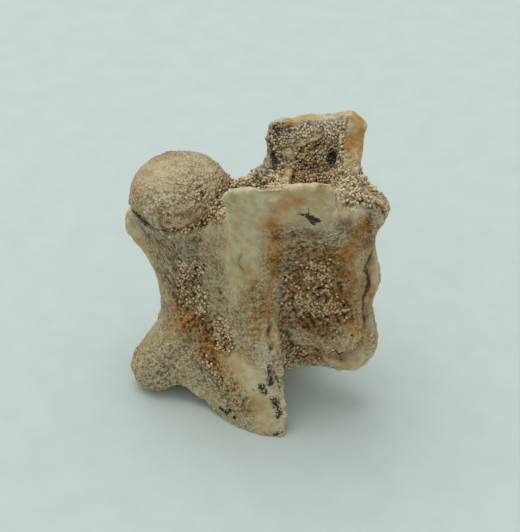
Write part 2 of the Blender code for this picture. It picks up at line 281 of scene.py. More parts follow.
@dataclass(frozen=True)
class Pocket:
    """A flat hollow with crisp edges, cut into an inner wall of the bone's left side and its right.

    The outline is upright, as (x, z) points. The pocket's floor leans with the wall: it lies at floor_y at
    the height floor_z, and lean further out for each millimetre higher.
    """

    outline: tuple[tuple[float, float], ...]
    mouth_y: float
    floor_y: float
    floor_z: float
    lean: float

    def cutter(self, side: int) -> bpy.types.Mesh:
        """Makes the body that is cut away.

        Args:
            side: 1 for the bone's left and -1 for its right.

        Returns:
            A closed mesh in metres.
        """
        bm = bmesh.new()
        rings = []
        for deep in (False, True):
            ring = []
            for x, z in self.outline:
                y = self.floor_y + self.lean * (z - self.floor_z) if deep else self.mouth_y
                ring.append(bm.verts.new((x * MM, side * y * MM, z * MM)))
            rings.append(ring)
            bm.faces.new(ring)
        count = len(self.outline)
        for i in range(count):
            j = (i + 1) % count
            bm.faces.new((rings[0][i], rings[0][j], rings[1][j], rings[1][i]))
        bmesh.ops.recalc_face_normals(bm, faces=bm.faces)
        mesh = bpy.data.meshes.new("pocket")
        bm.to_mesh(mesh)
        bm.free()
        return mesh


@dataclass(frozen=True)
class Relief:
    """One kind of roughness all over the skin, or only where a stored mask has it.

    The pattern is drawn out along Z by stretch, after a turn about Y in degrees. Its highest places rise to
    height and its lowest fall as far.
    """

    name: str
    height: float
    width: float
    mask: str | None = None
    stretch: float = 1.0
    turn: float = 0.0


@dataclass
class Skin:
    """The mesh of the bone's surface as arrays, in millimetres."""

    mesh: bpy.types.Mesh
    points: np.ndarray = field(init=False)
    normals: np.ndarray = field(init=False)
    edges: np.ndarray = field(init=False)

    def __post_init__(self) -> None:
        """Reads the mesh."""
        self.points = np.empty(len(self.mesh.vertices) * 3)
        self.mesh.vertices.foreach_get("co", self.points)
        self.points = self.points.reshape(-1, 3) / MM
        self.edges = np.empty(len(self.mesh.edges) * 2, dtype=np.int32)
        self.mesh.edges.foreach_get("vertices", self.edges)
        self.edges = self.edges.reshape(-1, 2)
        self.read_normals()

    def read_normals(self) -> None:
        """Takes the outward directions from the mesh."""
        self.normals = np.empty(len(self.points) * 3)
        self.mesh.vertices.foreach_get("normal", self.normals)
        self.normals = self.normals.reshape(-1, 3)

    def move(self, offsets: np.ndarray) -> None:
        """Moves the points, none of them below the table.

        Args:
            offsets: millimetres for each point, a row for each.
        """
        self.points = self.points + offsets
        self.points[:, 2] = np.maximum(self.points[:, 2], 0.0)
        self.mesh.vertices.foreach_set("co", (self.points * MM).ravel())
        self.mesh.update()
        self.read_normals()

    def relaxed(self, values: np.ndarray, passes: int) -> np.ndarray:
        """Averages values over neighbours.

        Args:
            values: a row for each point.
            passes: how many times.

        Returns:
            The averaged values.
        """
        first, second = self.edges.T
        count = len(self.points)
        near = np.bincount(first, minlength=count) + np.bincount(second, minlength=count)
        near = np.maximum(near, 1)[:, None]
        out = values
        for _ in range(passes):
            total = np.zeros_like(out)
            for column in range(out.shape[1]):
                total[:, column] += np.bincount(first, weights=out[second, column], minlength=count)
                total[:, column] += np.bincount(second, weights=out[first, column], minlength=count)
            out = 0.5 * out + 0.5 * total / near
        return out

    def convexity(self, passes: int) -> np.ndarray:
        """Gives how far each point stands out of its surroundings, which are wider with more passes."""
        return ((self.points - self.relaxed(self.points, passes)) * self.normals).sum(axis=1)

    def painted(self, strokes: dict[str, Stroke]) -> np.ndarray:
        """Lays strokes over one another, where the strongest shows.

        Args:
            strokes: the strokes by the place that they paint.

        Returns:
            The amount at each point.
        """
        points = self.points + wander(self.points)
        cover = np.zeros(len(points))
        for stroke in strokes.values():
            cover = np.maximum(cover, stroke.lay(points, self.normals))
        return cover

    def keep(self, name: str, values: np.ndarray) -> None:
        """Stores a value for each point in the mesh, as an attribute of that name."""
        layer = self.mesh.attributes.new(name, "FLOAT", "POINT")
        layer.data.foreach_set("value", values.astype(np.float32))


def plain_mesh(obj: bpy.types.Object) -> bpy.types.Mesh:
    """Gives the mesh that an object's modifiers make, as plain data.

    Args:
        obj: the object, which stays as it is.

    Returns:
        The new mesh.
    """
    bpy.context.view_layer.update()
    evaluated = obj.evaluated_get(bpy.context.evaluated_depsgraph_get())
    return bpy.data.meshes.new_from_object(evaluated)


def add_object(name: str, data: Any) -> bpy.types.Object:
    """Puts a mesh, a lamp or a camera into the scene as an object at the origin.

    Args:
        name: the object's name.
        data: the mesh, the lamp or the camera.

    Returns:
        The new object.
    """
    obj = bpy.data.objects.new(name, data)
    bpy.context.scene.collection.objects.link(obj)
    return obj


def run_tree(obj: bpy.types.Object, tree: Tree, values: dict[str, float]) -> bpy.types.Mesh:
    """Runs a Geometry Nodes tree on an object and takes the modifier off again.

    Args:
        obj: the object whose mesh goes in.
        tree: the tree.
        values: the tree's named inputs.

    Returns:
        The mesh that comes out.
    """
    modifier = obj.modifiers.new(tree.name, "NODES")
    modifier.node_group = tree
    for item in tree.interface.items_tree:
        if item.in_out == "INPUT" and item.name in values:
            modifier[item.identifier] = values[item.name]
    mesh = plain_mesh(obj)
    obj.modifiers.remove(modifier)
    return mesh


def new_geometry_tree(name: str, numbers: dict[str, float]) -> tuple[Tree, Any, Any]:
    """Starts a Geometry Nodes tree with a geometry socket and named number inputs.

    Args:
        name: the tree's name.
        numbers: its other inputs with their defaults.

    Returns:
        The tree, its input node and its output node.
    """
    tree = bpy.data.node_groups.new(name, "GeometryNodeTree")
    tree.interface.new_socket("Geometry", in_out="INPUT", socket_type="NodeSocketGeometry")
    tree.interface.new_socket("Geometry", in_out="OUTPUT", socket_type="NodeSocketGeometry")
    for label, value in numbers.items():
        kind = "NodeSocketInt" if isinstance(value, int) else "NodeSocketFloat"
        tree.interface.new_socket(label, in_out="INPUT", socket_type=kind).default_value = value
    return tree, add_node(tree, "NodeGroupInput"), add_node(tree, "NodeGroupOutput")


def new_material(name: str, values: dict[str, float]) -> tuple[bpy.types.Material, Tree, Any]:
    """Starts a material.

    Args:
        name: its name.
        values: constant numbers by the shader's inputs.

    Returns:
        The material, its tree and its Principled BSDF.
    """
    material = bpy.data.materials.new(name)
    material.use_nodes = True
    shader = material.node_tree.nodes["Principled BSDF"]
    for key, value in values.items():
        shader.inputs[key].default_value = value
    return material, material.node_tree, shader


def stored_values(tree: Tree, names: list[str]) -> dict[str, Any]:
    """Gives sockets with the values that the mesh has stored, by name."""
    return {name: add_node(tree, "ShaderNodeAttribute", attribute_name=name).outputs["Fac"] for name in names}


@dataclass(frozen=True)
class Mask:
    """Where a layer of colour shows: it fades in as a value goes from low to high, up to a strength."""

    value: Any
    low: float = 0.0
    high: float = 1.0
    strength: float = 1.0


def meet(tree: Tree, *masks: Mask) -> Any:
    """Works out where all the masks meet.

    Args:
        tree: the material's tree.
        masks: one mask or more.

    Returns:
        The socket of the masks' product.
    """
    share = None
    for mask in masks:
        fade = {0: mask.value, 1: mask.low, 2: mask.high, 4: mask.strength}
        faded = add_node(tree, "ShaderNodeMapRange", fade).outputs[0]
        if share is None:
            share = faded
        else:
            share = add_node(tree, "ShaderNodeMath", {0: share, 1: faded}, operation="MULTIPLY").outputs[0]
    return share


def lay_over(tree: Tree, under: Any, over: Any, *masks: Mask, blend: str = "MIX") -> Any:
    """Lays a colour over another where all the masks meet, and gives the socket of what comes out."""
    colours = {0: meet(tree, *masks), 6: under, 7: over}
    return add_node(tree, "ShaderNodeMix", colours, data_type="RGBA", blend_type=blend).outputs[2]


@dataclass(frozen=True)
class FossilBone:
    """Phosphatised bone, worn matt on its edges and stained by the sand that it lay in.

    It is a dull, slightly chalky stone. The eye gets a fine mottle, dark pores, soft brown clouds and a
    roughness that never turns to gloss. Its fine bumps and grains are painted pale on top as highlight and
    dark in their lows, gaps and hollows as shade. Under the sand it is a dark brown bed with low round bumps.

    Many real pores are finer than 0.17 mm. That is the finest pattern here, because it is two pixels of
    the picture and a finer one wouldn't show.
    """

    cream: str = "#c5ba96"
    tan: str = "#b8a57e"
    ochre: str = "#b89862"
    brown: str = "#8b6b46"
    # Painted shade in the lows of the fine bumps
    nub_shade: str = "#69492b"
    # Dark pores, bed and fibre lines, and painted shade between grains and in hollows
    pore_and_shade: str = "#38220e"
    # Pale bare bone and grains, and painted highlight on bump tops, grain middles, crests and edges
    bare_and_highlight: str = "#efdfb4"
    cloud_mm: float = 2.4
    blotch_mm: float = 1.1
    mottle_mm: float = 0.7
    nub_mm: float = 0.34
    speck_mm: float = 0.17
    fibre_mm: float = 0.22
    fibre_turn: float = 0.45
    fibre_squash: float = 0.13
    grain_mm: float = 0.28
    ior: float = 1.55
    roughness: float = 0.84
    specular: float = 0.3
    bump_height_mm: float = 0.7
    bump_strength: float = 0.9

    def build(self) -> bpy.types.Material:
        """Makes the material.

        Returns:
            The material, which reads the values that are stored in the skin.
        """
        finish = {"Roughness": self.roughness, "IOR": self.ior, "Specular IOR Level": self.specular}
        material, tree, shader = new_material("fossil_bone", finish)
        values = stored_values(tree, ["wear", "crest", "cavity", "crust", "grit", "striae"])
        values |= stored_values(tree, [mineral.name.lower() for mineral in Mineral])
        values |= self._patterns(tree)
        colour = self._pitted(tree, values, self._mottled(tree, values))
        tree.links.new(self._stained(tree, values, colour), shader.inputs["Base Color"])
        tree.links.new(self._bumps(tree, values), shader.inputs["Normal"])
        return material

    def _patterns(self, tree: Tree) -> dict[str, Any]:
        """Draws the patterns that the colours and bumps share.

        Args:
            tree: the material's tree.

        Returns:
            The patterns' sockets by name.
        """
        place = add_node(tree, "ShaderNodeTexCoord").outputs["Object"]
        turning = {"Vector": place, "Angle": self.fibre_turn}
        turned = add_node(tree, "ShaderNodeVectorRotate", turning, rotation_type="Y_AXIS").outputs[0]
        squash = {0: turned, 1: (1.0, 1.0, self.fibre_squash)}
        along = add_node(tree, "ShaderNodeVectorMath", squash, operation="MULTIPLY").outputs[0]
        # Each noise: where it is drawn, how wide its features are and how many finer ones it mixes in
        noises = {
            "cloud": (place, self.cloud_mm, 3.0),
            "blotch": (place, self.blotch_mm, 4.0),
            "mottle": (place, self.mottle_mm, 4.0),
            "nub": (place, self.nub_mm, 1.0),
            "speck": (place, self.speck_mm, 1.0),
            "fibre": (along, self.fibre_mm, 2.0),
        }
        drawn = {}
        for name, (vector, size, detail) in noises.items():
            inputs = {"Vector": vector, "Scale": per_metre(size), "Detail": detail, "Roughness": 0.5}
            drawn[name] = add_node(tree, "ShaderNodeTexNoise", inputs).outputs["Fac"]
        grains = add_node(tree, "ShaderNodeTexVoronoi", {"Vector": place, "Scale": per_metre(self.grain_mm)})
        drawn["gap"] = grains.outputs["Distance"]
        drawn["tone"] = add_node(tree, "ShaderNodeSeparateColor", {0: grains.outputs["Color"]}).outputs[0]
        return drawn

    def _mottled(self, tree: Tree, values: dict[str, Any]) -> Any:
        """Mixes the bone's own colour in soft clouds, with the bed of fine grains in its hollows.

        Args:
            tree: the material's tree.
            values: the stored values and the patterns.

        Returns:
            The colour's socket.
        """
        colour = lay_over(tree, linear(self.tan), linear(self.cream), Mask(values["mottle"], 0.38, 0.6))
        colour = lay_over(tree, colour, linear(self.ochre), Mask(values["cloud"], 0.5, 0.36, 0.5))
        clouds = Mask(values["blotch"], 0.5, 0.68, 0.4)
        colour = lay_over(tree, colour, linear(self.brown), clouds, Mask(values["grit"]))
        grain = lay_over(tree, linear(self.brown), linear(self.bare_and_highlight), Mask(values["tone"], strength=0.9))
        # Dark between the embedded grains: a dark bed, and painted shade in the gaps that the bump makes low
        bedded = lay_over(tree, linear(self.pore_and_shade), grain, Mask(values["gap"], 0.75, 0.5))
        return lay_over(tree, colour, bedded, Mask(values["crust"], 0.08, 0.5, 0.9))

    def _pitted(self, tree: Tree, values: dict[str, Any], colour: Any) -> Any:
        """Lays on painted highlight on nub tops, grain middles and crests, painted shade in nub lows, between
        grains and in fine hollows, dark specks, lines between fibres, and worn edges with painted highlight.

        Args:
            tree: the material's tree.
            values: the stored values and the patterns.
            colour: the colour's socket so far.

        Returns:
            The colour's socket.
        """
        # Each layer: its colour, the value that it follows, where it starts, where it is full, how strong
        layers = (
            # Painted highlight on nub tops and grain middles, painted shade in nub lows and between grains
            (self.bare_and_highlight, "nub", 0.52, 0.7, 0.42),
            (self.bare_and_highlight, "gap", 0.56, 0.3, 1.0),
            (self.nub_shade, "nub", 0.42, 0.32, 0.3),
            (self.pore_and_shade, "gap", 0.64, 0.78, 0.75),
            (self.pore_and_shade, "speck", 0.35, 0.3, 0.4),
            # Painted highlight on the fine crests
            (self.bare_and_highlight, "crest", 0.1, 0.7, 0.85),
        )
        grit = Mask(values["grit"], 0.1)
        for tint, name, *fade in layers:
            colour = lay_over(tree, colour, linear(tint), Mask(values[name], *fade), grit)
        # Painted shade in the fine hollows
        colour = lay_over(tree, colour, linear(self.pore_and_shade), Mask(values["cavity"], 0.2, strength=0.6))
        fibres = Mask(values["fibre"], 0.43, 0.36, 0.85)
        colour = lay_over(tree, colour, linear(self.pore_and_shade), fibres, Mask(values["striae"]))
        # Pale edges: wear, with painted highlight
        return lay_over(tree, colour, linear(self.bare_and_highlight), Mask(values["wear"], strength=0.5))

    def _stained(self, tree: Tree, values: dict[str, Any], colour: Any) -> Any:
        """Lays minerals on, broken up by blotches where they have soaked in and by specks where not.

        Args:
            tree: the material's tree.
            values: the stored values and the patterns.
            colour: the colour's socket so far.

        Returns:
            The colour's socket.
        """
        for mineral in Mineral:
            # The pattern that breaks it up, the least and most that leaves, and where it starts and is full
            pattern, least, most, low, high = "speck", 0.6, 1.4, 0.4, 0.72
            if mineral.blend == "MULTIPLY":
                pattern, least, most, low, high = "blotch", 0.4, 1.6, 0.05, 0.9
            spreading = {0: values[pattern], 1: 0.3, 2: 0.7, 3: least, 4: most}
            spread = add_node(tree, "ShaderNodeMapRange", spreading).outputs[0]
            ragged = {0: values[mineral.name.lower()], 1: spread}
            cover = add_node(tree, "ShaderNodeMath", ragged, operation="MULTIPLY").outputs[0]
            mask = Mask(cover, low, high)
            colour = lay_over(tree, colour, linear(mineral.colour), mask, blend=mineral.blend)
        return colour

    def _bumps(self, tree: Tree, values: dict[str, Any]) -> Any:
        """Raises specks, grains and fibres that are too fine for the mesh.

        Args:
            tree: the material's tree.
            values: the stored values and the patterns.

        Returns:
            The socket of the bent normal.
        """
        # Each rise: its pattern, from and to, then the value that limits it, where that is full, how high
        heights = (
            ("nub", 0.3, 0.7, "grit", 1.0, 0.9),
            ("gap", 0.8, 0.1, "grit", 1.0, 0.9),
            ("speck", 0.3, 0.5, "grit", 1.0, 0.3),
            ("gap", 0.8, 0.1, "crust", 0.6, 0.8),
            ("fibre", 0.3, 0.6, "striae", 1.0, 0.8),
        )
        total = meet(tree, Mask(values["mottle"], 0.3, 0.7, 0.3))
        for pattern, low, high, cover, full, strength in heights:
            rise = meet(tree, Mask(values[pattern], low, high), Mask(values[cover], 0.0, full, strength))
            total = add_node(tree, "ShaderNodeMath", {0: total, 1: rise}, operation="ADD").outputs[0]
        bump = {"Height": total, "Strength": self.bump_strength, "Distance": self.bump_height_mm * MM}
        return add_node(tree, "ShaderNodeBump", bump).outputs["Normal"]


@dataclass(frozen=True)
class PhosphateSand:
    """Grains of phosphate sand, cemented to the bone.

    Each grain is a rounded pellet with a tone of its own, from pale tan to dark brown, and a dull skin that
    catches a little light. Where manganese has crept in, some grains are black among the pale ones.
    """

    pale: str = "#dbcda6"
    tan: str = "#b9a37b"
    brown: str = "#755838"
    soot: str = "#85867f"
    stain_share: float = 0.55
    ior: float = 1.6
    roughness: float = 0.6
    specular: float = 0.4

    def build(self) -> bpy.types.Material:
        """Makes the material.

        Returns:
            The material, which reads each grain's tone and the stains around it.
        """
        finish = {"Roughness": self.roughness, "IOR": self.ior, "Specular IOR Level": self.specular}
        material, tree, shader = new_material("phosphate_sand", finish)
        values = stored_values(tree, ["tone", *(mineral.name.lower() for mineral in Mineral)])
        tone = values["tone"]
        colour = lay_over(tree, linear(self.brown), linear(self.tan), Mask(tone, 0.0, 0.3))
        colour = lay_over(tree, colour, linear(self.pale), Mask(tone, 0.2, 0.8))
        for mineral in Mineral:
            stain = values[mineral.name.lower()]
            mask = Mask(stain, strength=self.stain_share)
            if mineral is Mineral.MANGANESE:
                colour = lay_over(tree, colour, linear(self.soot), Mask(stain, 0.0, 0.6), blend="MULTIPLY")
                some = add_node(tree, "ShaderNodeMath", {0: stain, 1: tone}, operation="SUBTRACT").outputs[0]
                mask = Mask(some, 0.0, 0.1, 0.95)
            colour = lay_over(tree, colour, linear(mineral.colour), mask, blend=mineral.blend)
        tree.links.new(colour, shader.inputs["Base Color"])
        return material


@dataclass(frozen=True)
class MattCard:
    """Pale matt card, such as lies under a specimen: no gloss and the faintest mottle.

    Real paper fibres are much finer. The mottle is drawn 3 mm wide, as soft flecks that just show.
    """

    colour: str = "#c7d6d1"
    shade: str = "#c3d2cd"
    fleck_mm: float = 3.0
    roughness: float = 0.95
    specular: float = 0.1

    def build(self) -> bpy.types.Material:
        """Makes the material.

        Returns:
            The material.
        """
        finish = {"Roughness": self.roughness, "Specular IOR Level": self.specular}
        material, tree, shader = new_material("matt_card", finish)
        place = add_node(tree, "ShaderNodeTexCoord").outputs["Object"]
        fleck = add_node(tree, "ShaderNodeTexNoise", {"Vector": place, "Scale": per_metre(self.fleck_mm)})
        mottle = Mask(fleck.outputs["Fac"], 0.3, 0.7)
        colour = lay_over(tree, linear(self.shade), linear(self.colour), mottle)
        tree.links.new(colour, shader.inputs["Base Color"])
        return material


# What the solid leaves out and an outline can give: the flat hollow in each wall of the hind socket
POCKET = Pocket(
    ((2.3, 21.1), (4.2, 22.2), (5.85, 22.9), (5.85, 20.3), (5.0, 19.3), (2.5, 19.1)),
    mouth_y=2.2,
    floor_y=4.0,
    floor_z=20.0,
    lean=0.27,
)

# Lines that are both cut and stained
SPINE_LAYER = ((10.0, -0.4, 16.2), (9.7, -1.0, 14.6), (9.9, -1.0, 13.2), (9.5, -1.1, 11.4), (9.7, -1.1, 9.4))
PROCESS_CRACK = ((2.7, -4.1, 11.6), (2.7, -4.1, 9.4), (3.0, -4.5, 7.4))

# The ways that strokes face: to the bone's right, and to its right and a little up
RIGHT = (0.0, -1.0, 0.0)
RIGHT_AND_UP = (0.0, -1.0, 0.2)

# The flat faces where corners have broken off
CHIPS = {
    "lip, upper facet": Chip((7.9, -2.95, 7.8), facing=(0.0, -0.85, 0.53), width=1.6),
    "lip, lower facet": Chip((8.0, -2.85, 6.4), facing=(0.1, -0.9, -0.42), width=2.0),
    "lip, side facet": Chip((9.5, -2.2, 7.2), facing=(0.85, -0.52, 0.1), width=1.5),
    "corner of the far wing": Chip((6.75, 5.05, 24.15), facing=(0.52, 0.0, 0.85), width=1.6),
    "left lip": Chip((8.2, 2.9, 7.0), facing=(0.2, 0.95, 0.2), width=1.8),
    "left rib joint": Chip((-6.8, 4.5, 3.6), facing=(-0.3, 0.9, 0.1), width=1.6),
}

# What else the solid leaves out, in millimetres outwards: dents lie low, and one corner stands proud
SCULPTING = {
    "crease behind the keel's stump": both(
        ((-9.8, -1.6, 16.9), (-8.4, -3.3, 16.6), (-7.4, -3.8, 16.4)), 0.5, -0.35
    ),
    "fold under the joint ball": both(((-7.4, -3.8, 16.4), (-5.1, -4.0, 16.8)), 0.7, -0.15),
    "gap between joint ball and wing": both(
        ((-5.0, -4.0, 16.8), (-3.3, -3.1, 17.2), (-2.4, -2.6, 18.2)), 0.6, -0.45
    ),
    "pit behind the rib joint": both(((-1.6, -3.3, 7.8), (-1.1, -3.9, 6.4)), 1.0, -0.4),
    "dip in the near wing's rim": Stroke(((2.4, -5.6, 23.2), (3.6, -5.6, 23.6)), 1.1, -0.35),
    "dent in the near wing": Stroke(((4.6, -5.2, 21.8), (6.6, -5.0, 21.4)), 1.4, -0.12),
    "notch in the far wing's rim": Stroke(((5.1, 5.3, 24.2),), 0.7, -0.35),
    "chip in the far wing's edge": Stroke(((-0.8, 5.0, 21.4),), 0.8, -0.2),
    "hole in the hind socket": both(((5.2, 3.9, 20.6),), 0.6, -0.4),
    "cracked rim at the spine": Stroke(((10.1, -0.7, 20.6), (10.7, -0.7, 19.7)), 0.35, -0.25),
    "layer along the spine's edge": Stroke(SPINE_LAYER, 0.3, -0.18),
    "crack down the front process": Stroke(PROCESS_CRACK, 0.3, -0.14),
    "worn edge of the front process": Stroke(
        ((3.2, -4.6, 6.6), (3.6, -5.0, 4.6), (4.2, -5.6, 2.4)), 0.4, -0.12
    ),
    "pointed corner of the near foot": Stroke(((4.6, -6.3, 0.3),), 0.9, 0.3, facing=(0.7, -0.7, 0.0)),
    "step beside the lip": Stroke(((6.3, -2.7, 6.6), (6.9, -2.7, 5.2)), 0.6, -0.15),
}

# The kinds of weathering
RELIEFS = (
    Relief("humps", height=0.07, width=1.8),
    Relief("pits", height=0.11, width=0.45, mask="grit"),
    Relief("fibres", height=0.14, width=0.5, mask="striae", stretch=0.2, turn=26.0),
    Relief("crust", height=0.14, width=0.6, mask="crust"),
    Relief("chips", height=0.15, width=0.9, mask="edge"),
)

# Where the sand has held, as shares of a full crust
CRUST = {
    "hind hollow between the wings": Stroke(
        ((0.6, 0.0, 20.0), (4.4, -3.0, 20.4), (4.4, 3.0, 20.8), (7.6, 0.0, 21.2)),
        4.4, 1.2, facing=(0.0, 0.0, 1.0), sharpness=1.6
    ),
    "inner walls of the wings": both(
        ((1.2, 4.6, 21.6), (5.0, 4.6, 22.6)), 2.5, 1.1, facing=RIGHT_AND_UP, sharpness=1.6
    ),
    "hind socket": both(
        ((2.4, 3.0, 19.6), (5.4, 3.4, 20.2)), 2.6, 1.2, facing=(0.0, -0.8, 0.6), sharpness=1.6
    ),
    "flank of the arch": both(((6.0, -2.8, 16.0), (6.4, -2.2, 10.2)), 3.4, 0.5),
    "flank, hind cluster": both(((5.2, -2.7, 15.6), (6.4, -2.5, 15.2), (5.8, -2.6, 14.0)), 1.5, 1.0),
    "flank, front cluster": both(((4.9, -2.4, 11.4), (6.2, -2.1, 10.6), (7.6, -1.7, 11.0)), 1.5, 1.0),
    "flank beside the ridge": both(((3.9, -2.9, 14.4), (3.6, -3.0, 10.6)), 1.2, 0.4),
    "side of the spool": both(((-5.0, -2.5, 12.4), (-5.2, -2.4, 9.4)), 1.6, 0.85),
    "foot of the pedicle": both(((-3.4, -2.6, 12.8), (-3.4, -2.9, 8.6)), 1.1, 0.65),
    "pit behind the rib joint": both(((-1.6, -3.2, 7.8), (-1.2, -3.7, 6.4)), 1.3, 1.5, sharpness=1.8),
    "fold under the joint ball": both(((-6.4, -4.0, 16.5), (-3.6, -3.3, 17.0)), 0.8, 0.7),
    "front process": Stroke(((-2.6, -4.3, 4.8), (-1.6, -4.8, 4.0)), 1.2, 0.65),
    "recess beside the lip": both(((3.8, -3.0, 6.2), (4.6, -2.8, 6.0)), 1.3, 1.3, sharpness=1.6),
    "joint ball, small cluster": Stroke(((-3.6, -2.3, 19.5),), 0.9, 0.8),
    "valley beside the ball": Stroke(((-1.6, -2.6, 18.6), (-1.6, 2.6, 18.6)), 1.8, 1.0),
    "gap between ball and wing": both(((-3.6, -3.2, 17.2), (-2.6, -2.6, 18.2)), 0.8, 1.0),
}

# Where handling and the sea have worn the bone smooth and no sand is left
WORN_SMOOTH = {
    "outer face of the wing": both(
        ((0.2, -5.4, 21.2), (6.8, -5.2, 23.0)), 3.6, facing=RIGHT, sharpness=1.3
    ),
    "corner of the wing": both(((8.0, -3.8, 21.6), (9.0, -2.2, 20.4)), 1.4, 0.8),
    "side ridge": both(((-0.1, -4.9, 19.6), (0.3, -4.7, 15.0)), 2.4, facing=RIGHT, sharpness=1.2),
    "front of the side ridge": both(
        ((0.3, -4.7, 15.0), (0.2, -4.4, 11.4)), 1.8, 0.5, facing=RIGHT
    ),
    "front process": both(((2.0, -5.6, 4.2), (3.0, -6.4, 1.0)), 2.4, 0.6, facing=RIGHT_AND_UP),
    "joint ball": Stroke(((-8.2, -1.6, 19.2), (-6.0, 0.0, 20.6)), 4.0, 0.25),
    "keel": Stroke(((-10.6, 0.0, 14.2), (-8.8, 0.0, 9.0)), 2.0, sharpness=1.5),
    "keel's stump": both(((-10.2, -0.8, 15.8), (-9.0, -2.0, 15.4)), 1.5, 0.8),
    "spine's broken edge": Stroke(
        ((10.3, -0.2, 15.6), (10.3, -0.6, 13.0), (10.1, -0.8, 11.0), (10.2, -0.7, 8.8)), 0.8, sharpness=1.5
    ),
    "wing rims": both(((-0.2, -5.4, 22.8), (3.0, -5.4, 23.4), (7.4, -5.6, 24.8)), 0.9, sharpness=2.0),
    "lip": both(((7.4, -2.8, 6.0), (9.2, -2.3, 6.0)), 1.5, 0.85, sharpness=1.3),
    "outer band of the far wing": both(
        ((7.0, 5.0, 24.0), (7.0, 4.0, 22.4), (7.2, 2.7, 21.6)), 1.2, 0.9, sharpness=2.2
    ),
    "rim of the roof": Stroke(
        ((7.6, 2.6, 21.6), (8.6, 0.9, 21.1), (9.5, -0.2, 20.9), (10.1, -0.6, 20.6)), 0.6
    ),
    "top of the far wing": Stroke(((1.4, 5.2, 23.0), (4.6, 5.2, 23.9)), 0.8, 0.8, sharpness=1.5),
    "ledge over the socket": both(((1.9, 3.8, 21.3), (4.0, 4.1, 22.4)), 0.8, 1.1),
    "plate between socket and canal": both(((1.6, 3.7, 20.8), (2.3, 1.8, 19.7)), 0.75, sharpness=1.6),
}

# Where the skin is rougher than elsewhere, but holds no sand
ROUGH = {
    "face of the knob": both(((-6.6, -4.4, 4.8), (-7.0, -4.9, 2.4)), 2.0, 0.35),
    "front process": both(((-2.2, -4.6, 4.4), (0.4, -5.6, 3.2)), 2.6, 0.35),
    "front of the side ridge": both(((1.4, -4.6, 13.0), (1.2, -4.4, 7.4)), 2.2, 0.35),
    "neck": both(((-4.4, -3.0, 13.0), (-5.0, -2.6, 9.0)), 2.2, 0.4),
    "above the rib joint": both(((-5.2, -3.1, 8.4), (-2.4, -3.9, 5.6)), 2.2, 0.6),
    "below the wing": both(((3.4, -4.8, 19.2), (7.4, -3.6, 18.6)), 1.8, 0.4),
    "joint ball, near the sand": both(((-4.4, -2.0, 19.4), (-5.4, -3.6, 18.4)), 2.2, 0.3),
    "flank of the arch": both(((5.6, -3.2, 17.0), (6.4, -2.2, 9.6)), 3.4, 0.55),
}

# Where the bone's fibres show as ridges along its length
STRIATIONS = {
    "neck of the spool": both(
        ((-8.6, -1.8, 15.4), (-6.6, -3.2, 15.2), (-6.6, -2.2, 10.8)), 2.3, sharpness=1.8
    ),
    "neck, behind": both(((-7.8, -3.6, 16.0), (-6.2, -3.4, 14.6), (-5.4, -2.8, 12.8)), 2.0, sharpness=1.5),
    "foot of the spool": both(((-7.2, -2.6, 9.0), (-6.6, -3.6, 7.0)), 1.3, 0.7),
    "flank beside the spine": both(((8.4, -1.9, 16.4), (7.6, -1.9, 12.0)), 1.6, 0.5),
}
